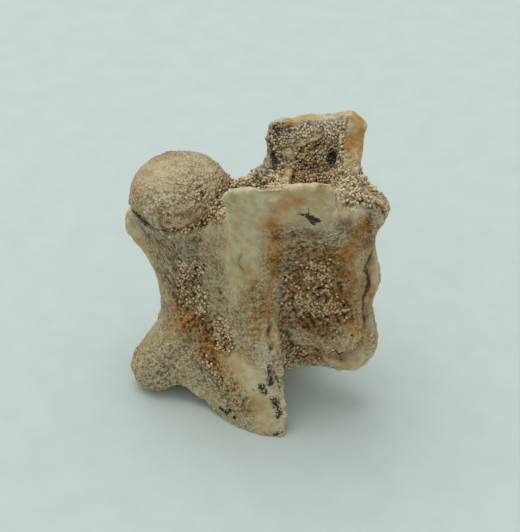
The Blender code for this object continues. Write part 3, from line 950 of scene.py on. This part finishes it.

# The stains, by mineral, with painted shade among the umber strokes and painted light among the chalk ones
STAINS: dict[Mineral, dict[str, Stroke]] = {
    Mineral.IRON: {
        "edge of the side ridge": Stroke(((3.3, -4.4, 17.4), (3.0, -4.0, 14.6)), 1.4, 0.85),
        "front edge of the side ridge": Stroke(((2.6, -4.0, 12.9), (2.4, -4.1, 10.4)), 1.3, 0.75),
        "whole ridge": both(((1.6, -4.5, 14.6), (1.4, -4.4, 9.6)), 2.4, 0.28),
        "whole flank": both(((5.0, -3.1, 17.0), (5.2, -2.4, 9.4)), 3.8, 0.6),
        "neck": both(((-7.6, -3.2, 15.2), (-3.2, -3.2, 14.8), (-5.4, -2.6, 10.0)), 3.0, 0.22),
        "above the rib joint": Stroke(((-5.2, -3.1, 8.4), (-3.4, -3.4, 6.8), (-2.4, -3.9, 5.6)), 3.0, 0.8),
        "root of the spine": Stroke(((9.1, -1.6, 18.4), (8.9, -1.9, 17.2), (7.9, -2.6, 16.0)), 1.8, 1.1),
        "wing": Stroke(((5.2, -5.3, 22.8), (4.2, -5.3, 22.0), (3.4, -5.0, 20.4)), 1.3, 0.6),
        "below the wing": Stroke(((3.0, -4.9, 19.8), (3.4, -4.6, 18.2)), 1.5, 0.8),
        "gap between ball and wing": Stroke(
            ((-4.4, -3.7, 16.9), (-3.3, -3.1, 17.3), (-2.4, -2.6, 18.2)), 0.9
        ),
        "recess beside the lip": both(((5.0, -2.6, 5.9), (6.2, -2.6, 6.0)), 0.9, 1.2),
        "joint ball": Stroke(((-9.2, -1.8, 19.2), (-8.4, 0.0, 20.4)), 2.8, 0.3),
        "flank": both(((7.0, -2.8, 16.2), (8.2, -2.0, 13.4), (7.6, -1.8, 10.4)), 3.0, 0.85),
        "side of the spool": both(((-4.6, -2.6, 11.6), (-4.6, -2.9, 8.4)), 2.0, 0.5),
        "hind socket": Stroke(((2.6, 2.4, 19.4), (3.4, 3.4, 19.6)), 1.2, 0.6),
        "left side ridge": Stroke(((2.6, 4.1, 13.6), (2.4, 4.1, 10.2)), 1.0, 0.8),
        "left root of the wing": Stroke(((4.4, 4.0, 17.6), (7.0, 3.2, 16.8)), 1.3, 0.6),
        "cup": Stroke(((-3.3, 0.0, 3.2),), 3.0, 0.5),
    },
    Mineral.OCHRE: {
        "outer band of the far wing": Stroke(((7.0, 5.0, 24.0), (6.9, 3.8, 22.6)), 1.4, 0.65),
        "top of the far wing": Stroke(((1.8, 5.0, 22.9), (3.2, 5.2, 23.4)), 1.4, 0.7),
        "ledge over the socket": Stroke(((1.9, 3.8, 21.3), (4.0, 4.1, 22.4)), 0.8, 0.45),
        "plate between socket and canal": Stroke(((2.2, 2.4, 19.8),), 1.4, 0.5),
        "ridge": both(((1.0, -4.8, 13.4), (1.4, -4.4, 9.0)), 2.2, 0.4),
        "lip's corner": both(((8.8, -1.9, 9.2), (9.8, -1.5, 7.6)), 1.2, 0.95),
        "front process": Stroke(((-1.2, -5.0, 4.6), (1.2, -5.7, 2.6)), 2.6, 0.5),
        "lip": both(((7.4, -2.9, 6.2), (8.8, -2.5, 6.2)), 1.6, 0.35),
        "neck": both(((-7.0, -3.2, 14.4), (-6.0, -2.8, 12.6)), 1.8, 0.4),
        "knob": both(((-7.4, -4.6, 3.4),), 1.8, 0.3),
        "valley beside the ball": Stroke(((-2.4, 0.6, 19.0), (-1.4, 2.6, 18.9)), 1.0, 0.6),
    },
    Mineral.OLIVE: {
        "corner of the wing": Stroke(((0.4, -5.4, 21.8),), 1.4, 0.7, facing=RIGHT),
        "side ridge": both(((0.4, -4.7, 15.8), (0.6, -4.5, 14.0)), 1.3, 0.5),
        "joint ball": Stroke(((-9.8, -1.8, 17.4), (-8.0, -3.4, 17.6)), 1.2, 0.6),
    },
    Mineral.UMBER: {
        "flank, hind cluster": both(((5.2, -2.7, 15.4), (6.0, -2.5, 14.4)), 1.8, 0.35),
        "flank, front cluster": both(((5.0, -2.3, 11.0), (7.4, -1.8, 11.2)), 1.9, 0.4),
        "spool": both(((-4.9, -2.5, 11.8), (-5.4, -2.4, 9.6)), 1.8, 0.3),
        # Painted shade on the low front of the joint ball and in the fold under it
        "joint ball": Stroke(((-6.0, -3.8, 17.8), (-4.2, -3.2, 18.0)), 1.6, 0.45),
        "fold under the joint ball": Stroke(((-6.0, -4.0, 16.6), (-3.4, -3.2, 17.2)), 0.6, 0.5),
        # Partly brown stain, partly painted shade on the flank under the wing
        "whole flank": both(((5.4, -2.8, 16.0), (5.6, -2.3, 10.0)), 3.6, 0.2),
        "front of the flank": both(((3.8, -3.0, 9.4), (6.8, -2.2, 9.0)), 1.6, 0.45),
        "wing's lower edge": both(((3.6, -4.5, 18.6), (6.6, -4.2, 19.2)), 1.1, 0.4),
        "corner of the wing": both(((7.8, -3.2, 20.0), (8.8, -2.2, 19.2)), 1.1, 0.45),
        "crack in the ridge": Stroke(((0.8, -4.8, 16.6), (0.4, -4.6, 15.6), (0.7, -4.6, 14.4)), 0.24, 0.6),
        "crack down the front process": Stroke(PROCESS_CRACK, 0.3),
        "line along the spine's edge": Stroke(SPINE_LAYER, 0.22, 0.75),
        "cracked rim at the spine": Stroke(
            ((10.1, -0.7, 20.6), (10.5, -0.7, 20.2), (10.7, -0.7, 19.6)), 0.3, 1.6
        ),
        "spine's broken edge": Stroke(((9.8, -0.8, 17.0), (9.9, -0.9, 13.0), (9.9, -0.9, 9.0)), 1.1, 0.6),
        "groove at the lip": Stroke(((4.9, -2.7, 6.9), (5.6, -2.7, 6.9), (6.2, -2.7, 6.9)), 0.3, 1.2),
        # Painted shade on the floor of the hind socket
        "socket's floor": both(((3.2, 3.4, 19.8), (5.2, 3.9, 21.0)), 2.0, 0.45),
        "recess beside the lip": both(((3.6, -3.0, 6.4), (4.8, -2.7, 6.0)), 1.5, 1.2),
        "lip": both(((6.8, -2.9, 6.8), (8.8, -2.8, 6.8)), 1.8, 0.65),
        "outer band of the far wing": both(((7.0, 5.0, 24.0), (7.1, 3.0, 22.0)), 1.4, 0.35),
        "tongue's foot": both(((2.0, -6.0, 2.4), (3.6, -6.2, 1.0)), 1.8, 0.2),
    },
    Mineral.CHALK: {
        "white facet of the front process": Stroke(
            ((1.9, -4.7, 7.4), (2.4, -4.6, 7.0), (2.6, -4.9, 5.9)), 0.9, 0.75, sharpness=1.3
        ),
        "worn edge of the front process": Stroke(((2.8, -5.5, 3.9), (3.5, -5.5, 3.5)), 0.55),
        "lower edge of the front process": Stroke(((4.1, -5.9, 2.2), (4.5, -6.0, 1.0)), 0.5, 0.75),
        "lip": both(((7.0, -3.0, 7.8), (8.6, -3.0, 7.6)), 1.0, 0.25),
        # Painted highlight along the lip's crest
        "lip's crest": Stroke(((6.45, -2.65, 5.8), (7.2, -3.0, 6.9), (7.7, -3.1, 7.6)), 0.2, 1.2),
        # Painted highlight along the spine's broken edge
        "spine's broken edge": Stroke(
            ((10.4, -0.2, 15.6), (10.5, -0.5, 13.6), (10.3, -0.7, 11.6), (10.3, -0.6, 9.2)), 0.4, 0.55
        ),
        "rim of the roof": Stroke(
            ((7.9, -4.2, 22.6), (8.1, -2.9, 21.2), (8.9, -1.9, 20.5), (9.7, -1.0, 20.3)), 0.5, 0.6
        ),
        "knob of the spine": Stroke(((10.2, -0.8, 20.0), (10.6, -0.7, 19.2)), 0.45, 0.9),
        # Painted light that lifts the sand in the shaded hollow of the far wing
        "crust inside the far wing": Stroke(
            ((1.8, 4.6, 21.9), (5.0, 4.9, 23.4), (5.6, 4.4, 22.6)), 1.5, 1.2, facing=RIGHT_AND_UP
        ),
        # Partly a pale stain, partly painted light that lifts the shaded neck
        "neck": both(((-7.4, -3.4, 15.6), (-4.0, -3.2, 14.6), (-5.6, -2.6, 11.6)), 2.4, 0.56),
        "knob": both(((-6.6, -4.4, 4.8), (-7.4, -4.9, 2.4)), 2.2, 0.54),
        # Painted highlight on the near wing's rim
        "rim of the near wing": Stroke(((2.2, -5.6, 23.1), (3.6, -5.6, 23.5)), 0.6, 0.7),
        "between the branch's arms": Stroke(((5.5, -5.0, 20.9),), 0.35, 0.9),
        "beside the branch's stem": Stroke(((6.3, -5.0, 21.3),), 0.35, 0.8),
        "far wing's top": Stroke(((3.6, 5.3, 23.8), (5.6, 5.4, 24.4)), 0.5, 0.6),
    },
    Mineral.MANGANESE: {
        "corner of the far wing": Stroke(((-0.3, 4.8, 22.1), (0.9, 4.8, 22.5)), 1.4, 0.43),
        "edge of the far wing": Stroke(((-0.7, 4.6, 21.2), (-0.4, 3.8, 20.2)), 1.0, 0.46),
        "pit in the canal": Stroke(((0.3, 3.8, 20.2), (0.9, 3.1, 19.8)), 0.8, 0.9),
        "inside of the far wing": Stroke(((0.4, 4.2, 20.8), (1.6, 4.4, 21.6)), 0.9, 0.15),
        "hole in the hind socket": both(((5.3, 4.1, 20.5), (5.3, 4.2, 21.0)), 0.7, 1.2),
        "branch on the wing, upper arm": Stroke(
            ((5.3, -5.0, 21.2), (5.9, -5.0, 21.05), (5.95, -5.1, 21.75)), 0.36, 1.3
        ),
        "branch on the wing, stem": Stroke(((5.9, -5.0, 21.05), (6.5, -4.8, 20.8)), 0.5, 1.4),
        "branch on the wing, lower arm": Stroke(((6.1, -4.9, 20.9), (6.2, -4.7, 20.3)), 0.36, 1.2),
        "crease behind the keel's stump": Stroke(
            ((-8.9, -3.0, 17.0), (-8.2, -3.5, 16.8), (-7.5, -3.8, 16.6)), 0.9, 1.2
        ),
        "crease behind the keel's stump, end": Stroke(((-9.9, -1.6, 17.4), (-9.1, -2.8, 17.1)), 0.7, 0.7),
        "crease on the left": Stroke(((-9.4, 2.3, 17.2), (-8.2, 3.5, 16.8)), 0.6, 0.55),
        "edge of the joint ball": Stroke(((-10.0, -0.6, 18.8), (-9.7, -1.9, 18.0)), 0.7, 0.58),
        "far edge of the joint ball": Stroke(((-3.0, 1.2, 19.8), (-4.0, 1.8, 20.2)), 0.6, 0.6),
        "front process, upper bar": Stroke(
            ((3.0, -4.9, 5.7), (3.1, -5.1, 5.1), (3.2, -5.3, 4.5)), 0.55, 0.8
        ),
        "front process, blot": Stroke(((2.5, -5.6, 4.3), (2.9, -5.7, 3.9)), 0.8, 0.85),
        "front process, lower blots": Stroke(
            ((3.5, -5.6, 3.4), (3.9, -5.7, 2.7), (4.1, -5.9, 2.0)), 0.9, 0.76
        ),
        "line beside the worn edge": Stroke(
            ((3.2, -4.5, 7.0), (3.5, -4.8, 5.2), (4.1, -5.1, 3.4)), 0.26, 0.8
        ),
        "near foot, first dot": Stroke(((-0.9, -5.9, 1.1), (-0.4, -6.1, 0.9)), 0.55),
        "near foot, second dot": Stroke(((-0.1, -6.1, 1.4),), 0.55),
        "near foot, third dot": Stroke(((0.5, -6.3, 1.0),), 0.42, 1.2),
        "near foot, fourth dot": Stroke(((2.0, -5.9, 3.8),), 0.2, 1.3),
        "near foot, fifth dot": Stroke(((2.1, -6.4, 0.9),), 0.2, 1.3),
        "bottom edge of the near foot": Stroke(((4.0, -6.4, 0.2), (4.6, -6.2, 0.4)), 0.4),
        "lip, cracks between the facets": Stroke(
            ((7.9, -3.0, 7.3), (8.4, -3.0, 7.1), (8.8, -2.8, 7.4)), 0.17
        ),
        "lip, short crack": Stroke(((7.3, -2.9, 6.3), (7.9, -2.9, 6.5)), 0.16),
        "lip, long crack": Stroke(((8.3, -2.9, 6.7), (8.6, -2.8, 5.8)), 0.15),
        "lip, upper crack": Stroke(((7.2, -3.0, 8.3), (7.6, -3.05, 7.9)), 0.15),
        "lip's corner, long crack": Stroke(((8.9, -2.4, 8.8), (9.5, -2.0, 8.2), (9.9, -1.5, 7.2)), 0.2),
        "lip's corner, short crack": Stroke(((9.2, -2.4, 8.0), (9.7, -1.9, 7.3)), 0.17),
        "root of the left wing": Stroke(((1.2, 4.9, 18.2), (2.4, 4.7, 17.4)), 0.7, 0.65),
        "keel": Stroke(((-8.6, 0.2, 5.6),), 0.7, 0.6),
    },
}


@dataclass
class BoneSurface:
    """The whole bone, drawn as one fine weathered skin over its solid.

    The skin's points are about 0.15 mm apart, just under the width of a sand grain. How far a point stands
    out of its surroundings tells the edges, which are worn and painted with highlight, from the hollows,
    which hold sand and are painted with shade. The more passes, the wider the surroundings.
    """

    node: str = "vertebra"
    # The remeshing: what is merged before it, its spacing, and how the skin is evened out after it
    merging: float = 0.001
    spacing: float = 0.151
    evening: float = 0.5
    relaxing: int = 6
    # The reliefs' seed, and the height above the table over which they fade in
    seed: float = 4.0
    even_foot: float = 0.4
    # How wide the surroundings are, and how far out of them a point stands where a value starts and is full
    fine_passes: int = 4
    # cavity marks painted shade in the fine hollows
    cavity: tuple[float, float] = (0.0, -0.035)
    # crest marks painted highlight on the fine bumps
    crest: tuple[float, float] = (0.0, 0.035)
    # Worn edges, which also carry painted highlight
    wear_passes: int = 10
    wear: tuple[float, float] = (0.015, 0.07)
    edge_passes: int = 20
    edge: tuple[float, float] = (0.01, 0.08)
    hollow_passes: int = 60
    hollow: tuple[float, float] = (0.02, -0.1)
    # The crust: how much of it any hollow holds, its gaps, and how high above the table it starts
    hollow_crust: float = 0.35
    gap_width: float = 0.9
    gap_seed: int = 5
    gaps: tuple[float, float] = (-1.3, 0.1)
    bare_foot: float = 0.5
    # The grit: how much the plain bone has, how that varies, and what crust and wear add and take
    plain_grit: float = 0.38
    grit_swing: float = 0.2
    grit_width: float = 2.5
    grit_seed: int = 8
    crust_grit: float = 0.6
    smoothing: float = 0.9
    # Above this height, sand belongs to the hind hollow
    hollow_height: float = 18.0

    def build(self, solid: bpy.types.Object) -> bpy.types.Object:
        """Makes the skin with its shape and its stored values.

        Args:
            solid: the CAD node.

        Returns:
            The finished object.
        """
        obj = add_object("bone_surface", self._fine_copy(solid))
        skin = Skin(obj.data)
        for chip in CHIPS.values():
            skin.move(chip.cut(skin.points))
        for stroke in SCULPTING.values():
            lift = stroke.lay(skin.points + wander(skin.points), skin.normals)
            skin.move(skin.normals * lift[:, None])
        self._store(skin)
        obj.data = run_tree(obj, self._weathering(), {})
        weathered = Skin(obj.data)
        fine = weathered.convexity(self.fine_passes)
        # Painted shade in the fine hollows
        weathered.keep("cavity", smooth_step(*self.cavity, fine))
        # Painted highlight on the fine crests
        weathered.keep("crest", smooth_step(*self.crest, fine))
        # Worn edges, pale as wear and as painted highlight
        weathered.keep("wear", smooth_step(*self.wear, weathered.convexity(self.wear_passes)))
        obj.data.shade_smooth()
        obj.data.materials.clear()
        obj.data.materials.append(FossilBone().build())
        return obj

    def _fine_copy(self, solid: bpy.types.Object) -> bpy.types.Mesh:
        """Cuts the pockets into a copy of the solid's mesh, remeshes it finely and evens it out.

        Args:
            solid: the CAD node.

        Returns:
            The fine mesh.
        """
        bm = bmesh.new()
        bm.from_mesh(solid.data)
        bmesh.ops.remove_doubles(bm, verts=bm.verts, dist=self.merging * MM)
        mesh = bpy.data.meshes.new("fine_copy")
        bm.to_mesh(mesh)
        bm.free()
        guide = add_object("fine_copy", mesh)
        cutters = [add_object("pocket", POCKET.cutter(side)) for side in (-1, 1)]
        for cutter in cutters:
            cut = guide.modifiers.new("pocket", "BOOLEAN")
            cut.operation = "DIFFERENCE"
            cut.object = cutter
        remesh = guide.modifiers.new("remesh", "REMESH")
        remesh.mode = "VOXEL"
        remesh.voxel_size = self.spacing * MM
        smooth = guide.modifiers.new("smooth", "SMOOTH")
        smooth.factor = self.evening
        smooth.iterations = self.relaxing
        fine = plain_mesh(guide)
        for helper in (guide, *cutters):
            bpy.data.objects.remove(helper)
        return fine

    def _store(self, skin: Skin) -> None:
        """Works out where the bone is smooth, crusted, rough and stained, and stores it in the mesh.

        Args:
            skin: the skin before it is weathered.
        """
        smooth = skin.painted(WORN_SMOOTH)
        height = skin.points[:, 2]
        # Hollows hold a thin crust of their own. It has gaps, and it thins out towards the table
        crust = self.hollow_crust * smooth_step(*self.hollow, skin.convexity(self.hollow_passes))
        crust = np.clip(crust + skin.painted(CRUST), 0.0, 1.0)
        crust *= smooth_step(*self.gaps, waves(skin.points, self.gap_width, self.gap_seed) + crust)
        crust *= smooth_step(0.0, self.bare_foot, height)
        skin.keep("crust", np.clip(crust - smooth, 0.0, 1.0))
        skin.keep("edge", smooth_step(*self.edge, skin.convexity(self.edge_passes)))
        grit = self.plain_grit + self.grit_swing * waves(skin.points, self.grit_width, self.grit_seed)
        grit = grit + self.crust_grit * crust + skin.painted(ROUGH)
        skin.keep("grit", np.clip(grit - self.smoothing * smooth, 0.0, 1.0))
        skin.keep("striae", skin.painted(STRIATIONS))
        for mineral in Mineral:
            skin.keep(mineral.name.lower(), skin.painted(STAINS[mineral]))
        side = np.where(skin.points[:, 1] < 0.0, Region.RIGHT_SIDE.value, Region.LEFT_SIDE.value)
        skin.keep("region", np.where(height > self.hollow_height, Region.HIND_HOLLOW.value, side))

    def _weathering(self) -> Tree:
        """Builds the tree that roughens the skin with every relief, and leaves its foot even.

        Returns:
            The tree, which reads the masks that are stored in the skin.
        """
        numbers = {"Seed": self.seed}
        for relief in RELIEFS:
            numbers[f"{relief.name} height"] = relief.height * MM
            numbers[f"{relief.name} width"] = relief.width * MM
        tree, given, out = new_geometry_tree("weathering", numbers)
        place = add_node(tree, "GeometryNodeInputPosition").outputs[0]
        total = None
        for relief in RELIEFS:
            turn = {"Vector": place, "Angle": math.radians(relief.turn)}
            turned = add_node(tree, "ShaderNodeVectorRotate", turn, rotation_type="Y_AXIS").outputs[0]
            stretch = {0: turned, 1: (1.0, 1.0, relief.stretch)}
            drawn = add_node(tree, "ShaderNodeVectorMath", stretch, operation="MULTIPLY").outputs[0]
            width = {0: 1.0, 1: given.outputs[f"{relief.name} width"]}
            scale = add_node(tree, "ShaderNodeMath", width, operation="DIVIDE").outputs[0]
            pattern = {"Vector": drawn, "W": given.outputs["Seed"], "Scale": scale, "Detail": 2.0}
            noise = add_node(tree, "ShaderNodeTexNoise", pattern, noise_dimensions="4D").outputs["Fac"]
            swinging = {0: noise, 1: 0.25, 2: 0.75, 3: -1.0, 4: 1.0}
            swing = add_node(tree, "ShaderNodeMapRange", swinging).outputs[0]
            rise = {0: swing, 1: given.outputs[f"{relief.name} height"]}
            lift = add_node(tree, "ShaderNodeMath", rise, operation="MULTIPLY").outputs[0]
            if relief.mask is not None:
                named = {"Name": relief.mask}
                mask = add_node(tree, "GeometryNodeInputNamedAttribute", named, data_type="FLOAT")
                held = {0: lift, 1: mask.outputs["Attribute"]}
                lift = add_node(tree, "ShaderNodeMath", held, operation="MULTIPLY").outputs[0]
            if total is None:
                total = lift
            else:
                total = add_node(tree, "ShaderNodeMath", {0: total, 1: lift}, operation="ADD").outputs[0]
        height = add_node(tree, "ShaderNodeSeparateXYZ", {0: place}).outputs["Z"]
        clear = add_node(tree, "ShaderNodeMapRange", {0: height, 2: self.even_foot * MM}).outputs[0]
        total = add_node(tree, "ShaderNodeMath", {0: total, 1: clear}, operation="MULTIPLY").outputs[0]
        along = {0: add_node(tree, "GeometryNodeInputNormal").outputs[0], "Scale": total}
        offset = add_node(tree, "ShaderNodeVectorMath", along, operation="SCALE").outputs[0]
        moving = {"Geometry": given.outputs["Geometry"], "Offset": offset}
        tree.links.new(add_node(tree, "GeometryNodeSetPosition", moving).outputs[0], out.inputs[0])
        return tree


@dataclass
class SandCrust:
    """The grains that still stick to the bone, one piece for each region.

    Real grains are about 0.16 to 0.24 mm across. These are 0.18 to 0.36 mm, because each is a mesh of its
    own and finer ones would hardly show.
    """

    least_gap: float = 0.205
    most_per_mm2: float = 120.0
    grain_width: float = 0.27
    spread: float = 0.32
    heap: float = 0.07
    thin_crust: float = 0.3
    region_blur: float = 0.4
    seed: int = 7

    def build(
        self, surface: bpy.types.Object, region: Region, finish: bpy.types.Material
    ) -> bpy.types.Object:
        """Scatters the grains of one region.

        Args:
            surface: the bone's skin.
            region: the part of the skin.
            finish: the grains' material.

        Returns:
            The grains as one plain object.
        """
        choice = {"Region": region.value, "Seed": self.seed + region.value}
        return add_object("sand_" + region.name.lower(), run_tree(surface, self._tree(finish), choice))

    def _tree(self, finish: bpy.types.Material) -> Tree:
        """Builds the tree that scatters, heaps, sizes, turns and tones the grains.

        Args:
            finish: the grains' material.

        Returns:
            The tree, which takes a region and a seed.
        """
        sizes = {
            "Least gap": self.least_gap * MM,
            "Most per square metre": self.most_per_mm2 / MM**2,
            "Grain width": self.grain_width * MM,
            "Spread": self.spread,
            "Heap": self.heap * MM,
            "Region": 0,
            "Seed": self.seed,
        }
        tree, given, out = new_geometry_tree("sand_crust", sizes)
        seed = given.outputs["Seed"]
        stored = "GeometryNodeInputNamedAttribute"
        crust = add_node(tree, stored, {"Name": "crust"}, data_type="FLOAT").outputs["Attribute"]
        region = add_node(tree, stored, {"Name": "region"}, data_type="FLOAT").outputs["Attribute"]
        same = {0: region, 1: given.outputs["Region"], "Epsilon": self.region_blur}
        here = add_node(tree, "FunctionNodeCompare", same, data_type="FLOAT", operation="EQUAL").outputs[0]
        scattering = {
            "Mesh": given.outputs["Geometry"],
            "Selection": here,
            "Distance Min": given.outputs["Least gap"],
            "Density Max": given.outputs["Most per square metre"],
            "Density Factor": add_node(tree, "ShaderNodeMapRange", {0: crust, 1: self.thin_crust}).outputs[0],
            "Seed": seed,
        }
        kind = "GeometryNodeDistributePointsOnFaces"
        scatter = add_node(tree, kind, scattering, distribute_method="POISSON")
        rising = {3: given.outputs["Heap"], "Seed": seed}
        rise = add_node(tree, "FunctionNodeRandomValue", rising, data_type="FLOAT").outputs[1]
        lift = {0: scatter.outputs["Normal"], "Scale": rise}
        offset = add_node(tree, "ShaderNodeVectorMath", lift, operation="SCALE").outputs[0]
        heaping = {"Geometry": scatter.outputs["Points"], "Offset": offset}
        heaped = add_node(tree, "GeometryNodeSetPosition", heaping).outputs[0]
        ball = {"Radius": 0.5, "Subdivisions": 1}
        grain = add_node(tree, "GeometryNodeMeshIcoSphere", ball).outputs["Mesh"]
        swing = {0: 1.0, 1: given.outputs["Spread"]}
        least = add_node(tree, "ShaderNodeMath", swing, operation="SUBTRACT").outputs[0]
        most = add_node(tree, "ShaderNodeMath", swing, operation="ADD").outputs[0]
        shaping = {0: least, 1: most, "Seed": seed}
        shape = add_node(tree, "FunctionNodeRandomValue", shaping, data_type="FLOAT_VECTOR").outputs[0]
        sizing = {0: shape, "Scale": given.outputs["Grain width"]}
        size = add_node(tree, "ShaderNodeVectorMath", sizing, operation="SCALE").outputs[0]
        turning = {1: (math.tau,) * 3, "Seed": seed}
        turn = add_node(tree, "FunctionNodeRandomValue", turning, data_type="FLOAT_VECTOR").outputs[0]
        placing = {"Points": heaped, "Instance": grain, "Rotation": turn, "Scale": size}
        placed = add_node(tree, "GeometryNodeInstanceOnPoints", placing).outputs[0]
        chance = add_node(tree, "FunctionNodeRandomValue", {"Seed": seed}, data_type="FLOAT").outputs[1]
        toning = {"Geometry": placed, "Name": "tone", "Value": chance}
        keeper = "GeometryNodeStoreNamedAttribute"
        toned = add_node(tree, keeper, toning, data_type="FLOAT", domain="INSTANCE").outputs[0]
        solid = add_node(tree, "GeometryNodeRealizeInstances", {0: toned}).outputs[0]
        smooth = add_node(tree, "GeometryNodeSetShadeSmooth", {0: solid, "Shade Smooth": True}).outputs[0]
        dressing = {"Geometry": smooth, "Material": finish}
        tree.links.new(add_node(tree, "GeometryNodeSetMaterial", dressing).outputs[0], out.inputs[0])
        return tree


@dataclass
class Studio:
    """The pale table, the soft light and the camera, which stands where the photographer's did.

    The camera looks at a point inside the bone. At that point a millimetre spans scale pixels of the picture.
    """

    azimuth: float = 18.2
    elevation: float = 35.9
    distance: float = 125.0
    scale: float = 12.37
    target: Point = (0.58, 0.0, 12.0)
    nearest: float = 5.0
    table_width: float = 2400.0
    sky_colour: str = "#fdfdfb"
    sky_strength: float = 0.66
    lamp_width: float = 500.0
    lamp_place: Point = (-120.0, 70.0, 610.0)
    lamp_power: float = 1.75

    def build(self) -> None:
        """Sets the table, the light and the camera."""
        self._table()
        self._light()
        self._camera()

    def _table(self) -> None:
        """Lays the card under the bone."""
        bm = bmesh.new()
        bmesh.ops.create_grid(bm, x_segments=1, y_segments=1, size=self.table_width * MM / 2)
        mesh = bpy.data.meshes.new("table")
        bm.to_mesh(mesh)
        bm.free()
        table = add_object("table", mesh)
        table.data.materials.append(MattCard().build())

    def _light(self) -> None:
        """Hangs one broad lamp over the table in an even pale surrounding."""
        world = bpy.data.worlds.new("pale_room")
        world.use_nodes = True
        sky = world.node_tree.nodes["Background"]
        sky.inputs["Color"].default_value = linear(self.sky_colour)
        sky.inputs["Strength"].default_value = self.sky_strength
        bpy.context.scene.world = world
        lamp = bpy.data.lights.new("overhead_lamp", "AREA")
        lamp.size = self.lamp_width * MM
        lamp.energy = self.lamp_power
        holder = add_object("overhead_lamp", lamp)
        holder.location = Vector(self.lamp_place) * MM
        holder.rotation_euler = (-holder.location).to_track_quat("-Z", "Y").to_euler()

    def _camera(self) -> None:
        """Points the camera at the bone from the photograph's angle."""
        turn = math.radians(self.azimuth)
        rise = math.radians(self.elevation)
        back = Vector((math.sin(turn) * math.cos(rise), -math.cos(turn) * math.cos(rise), math.sin(rise)))
        camera = bpy.data.cameras.new("camera")
        camera.sensor_width = SENSOR_MM
        camera.lens = self.scale * self.distance * SENSOR_MM / max(IMAGE_WIDTH, IMAGE_HEIGHT)
        camera.clip_start = self.nearest * MM
        holder = add_object("camera", camera)
        holder.location = (Vector(self.target) + back * self.distance) * MM
        holder.rotation_euler = (-back).to_track_quat("-Z", "Y").to_euler()
        bpy.context.scene.camera = holder


def main() -> None:
    """Builds the scene around the frame."""
    logging.basicConfig(level=logging.INFO, format="%(name)s: %(message)s")
    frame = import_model()
    bpy.context.scene.view_settings.view_transform = "Standard"
    Studio().build()
    bone = BoneSurface()
    surface = bone.build(frame["nodes"][bone.node])
    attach(surface, "root")
    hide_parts(bone.node)
    log.info("%s: %d faces", surface.name, len(surface.data.polygons))
    sand = PhosphateSand().build()
    for region in Region:
        grains = SandCrust().build(surface, region, sand)
        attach(grains, "root")
        log.info("%s: %d faces", grains.name, len(grains.data.polygons))


if __name__ == "__main__":
    main()
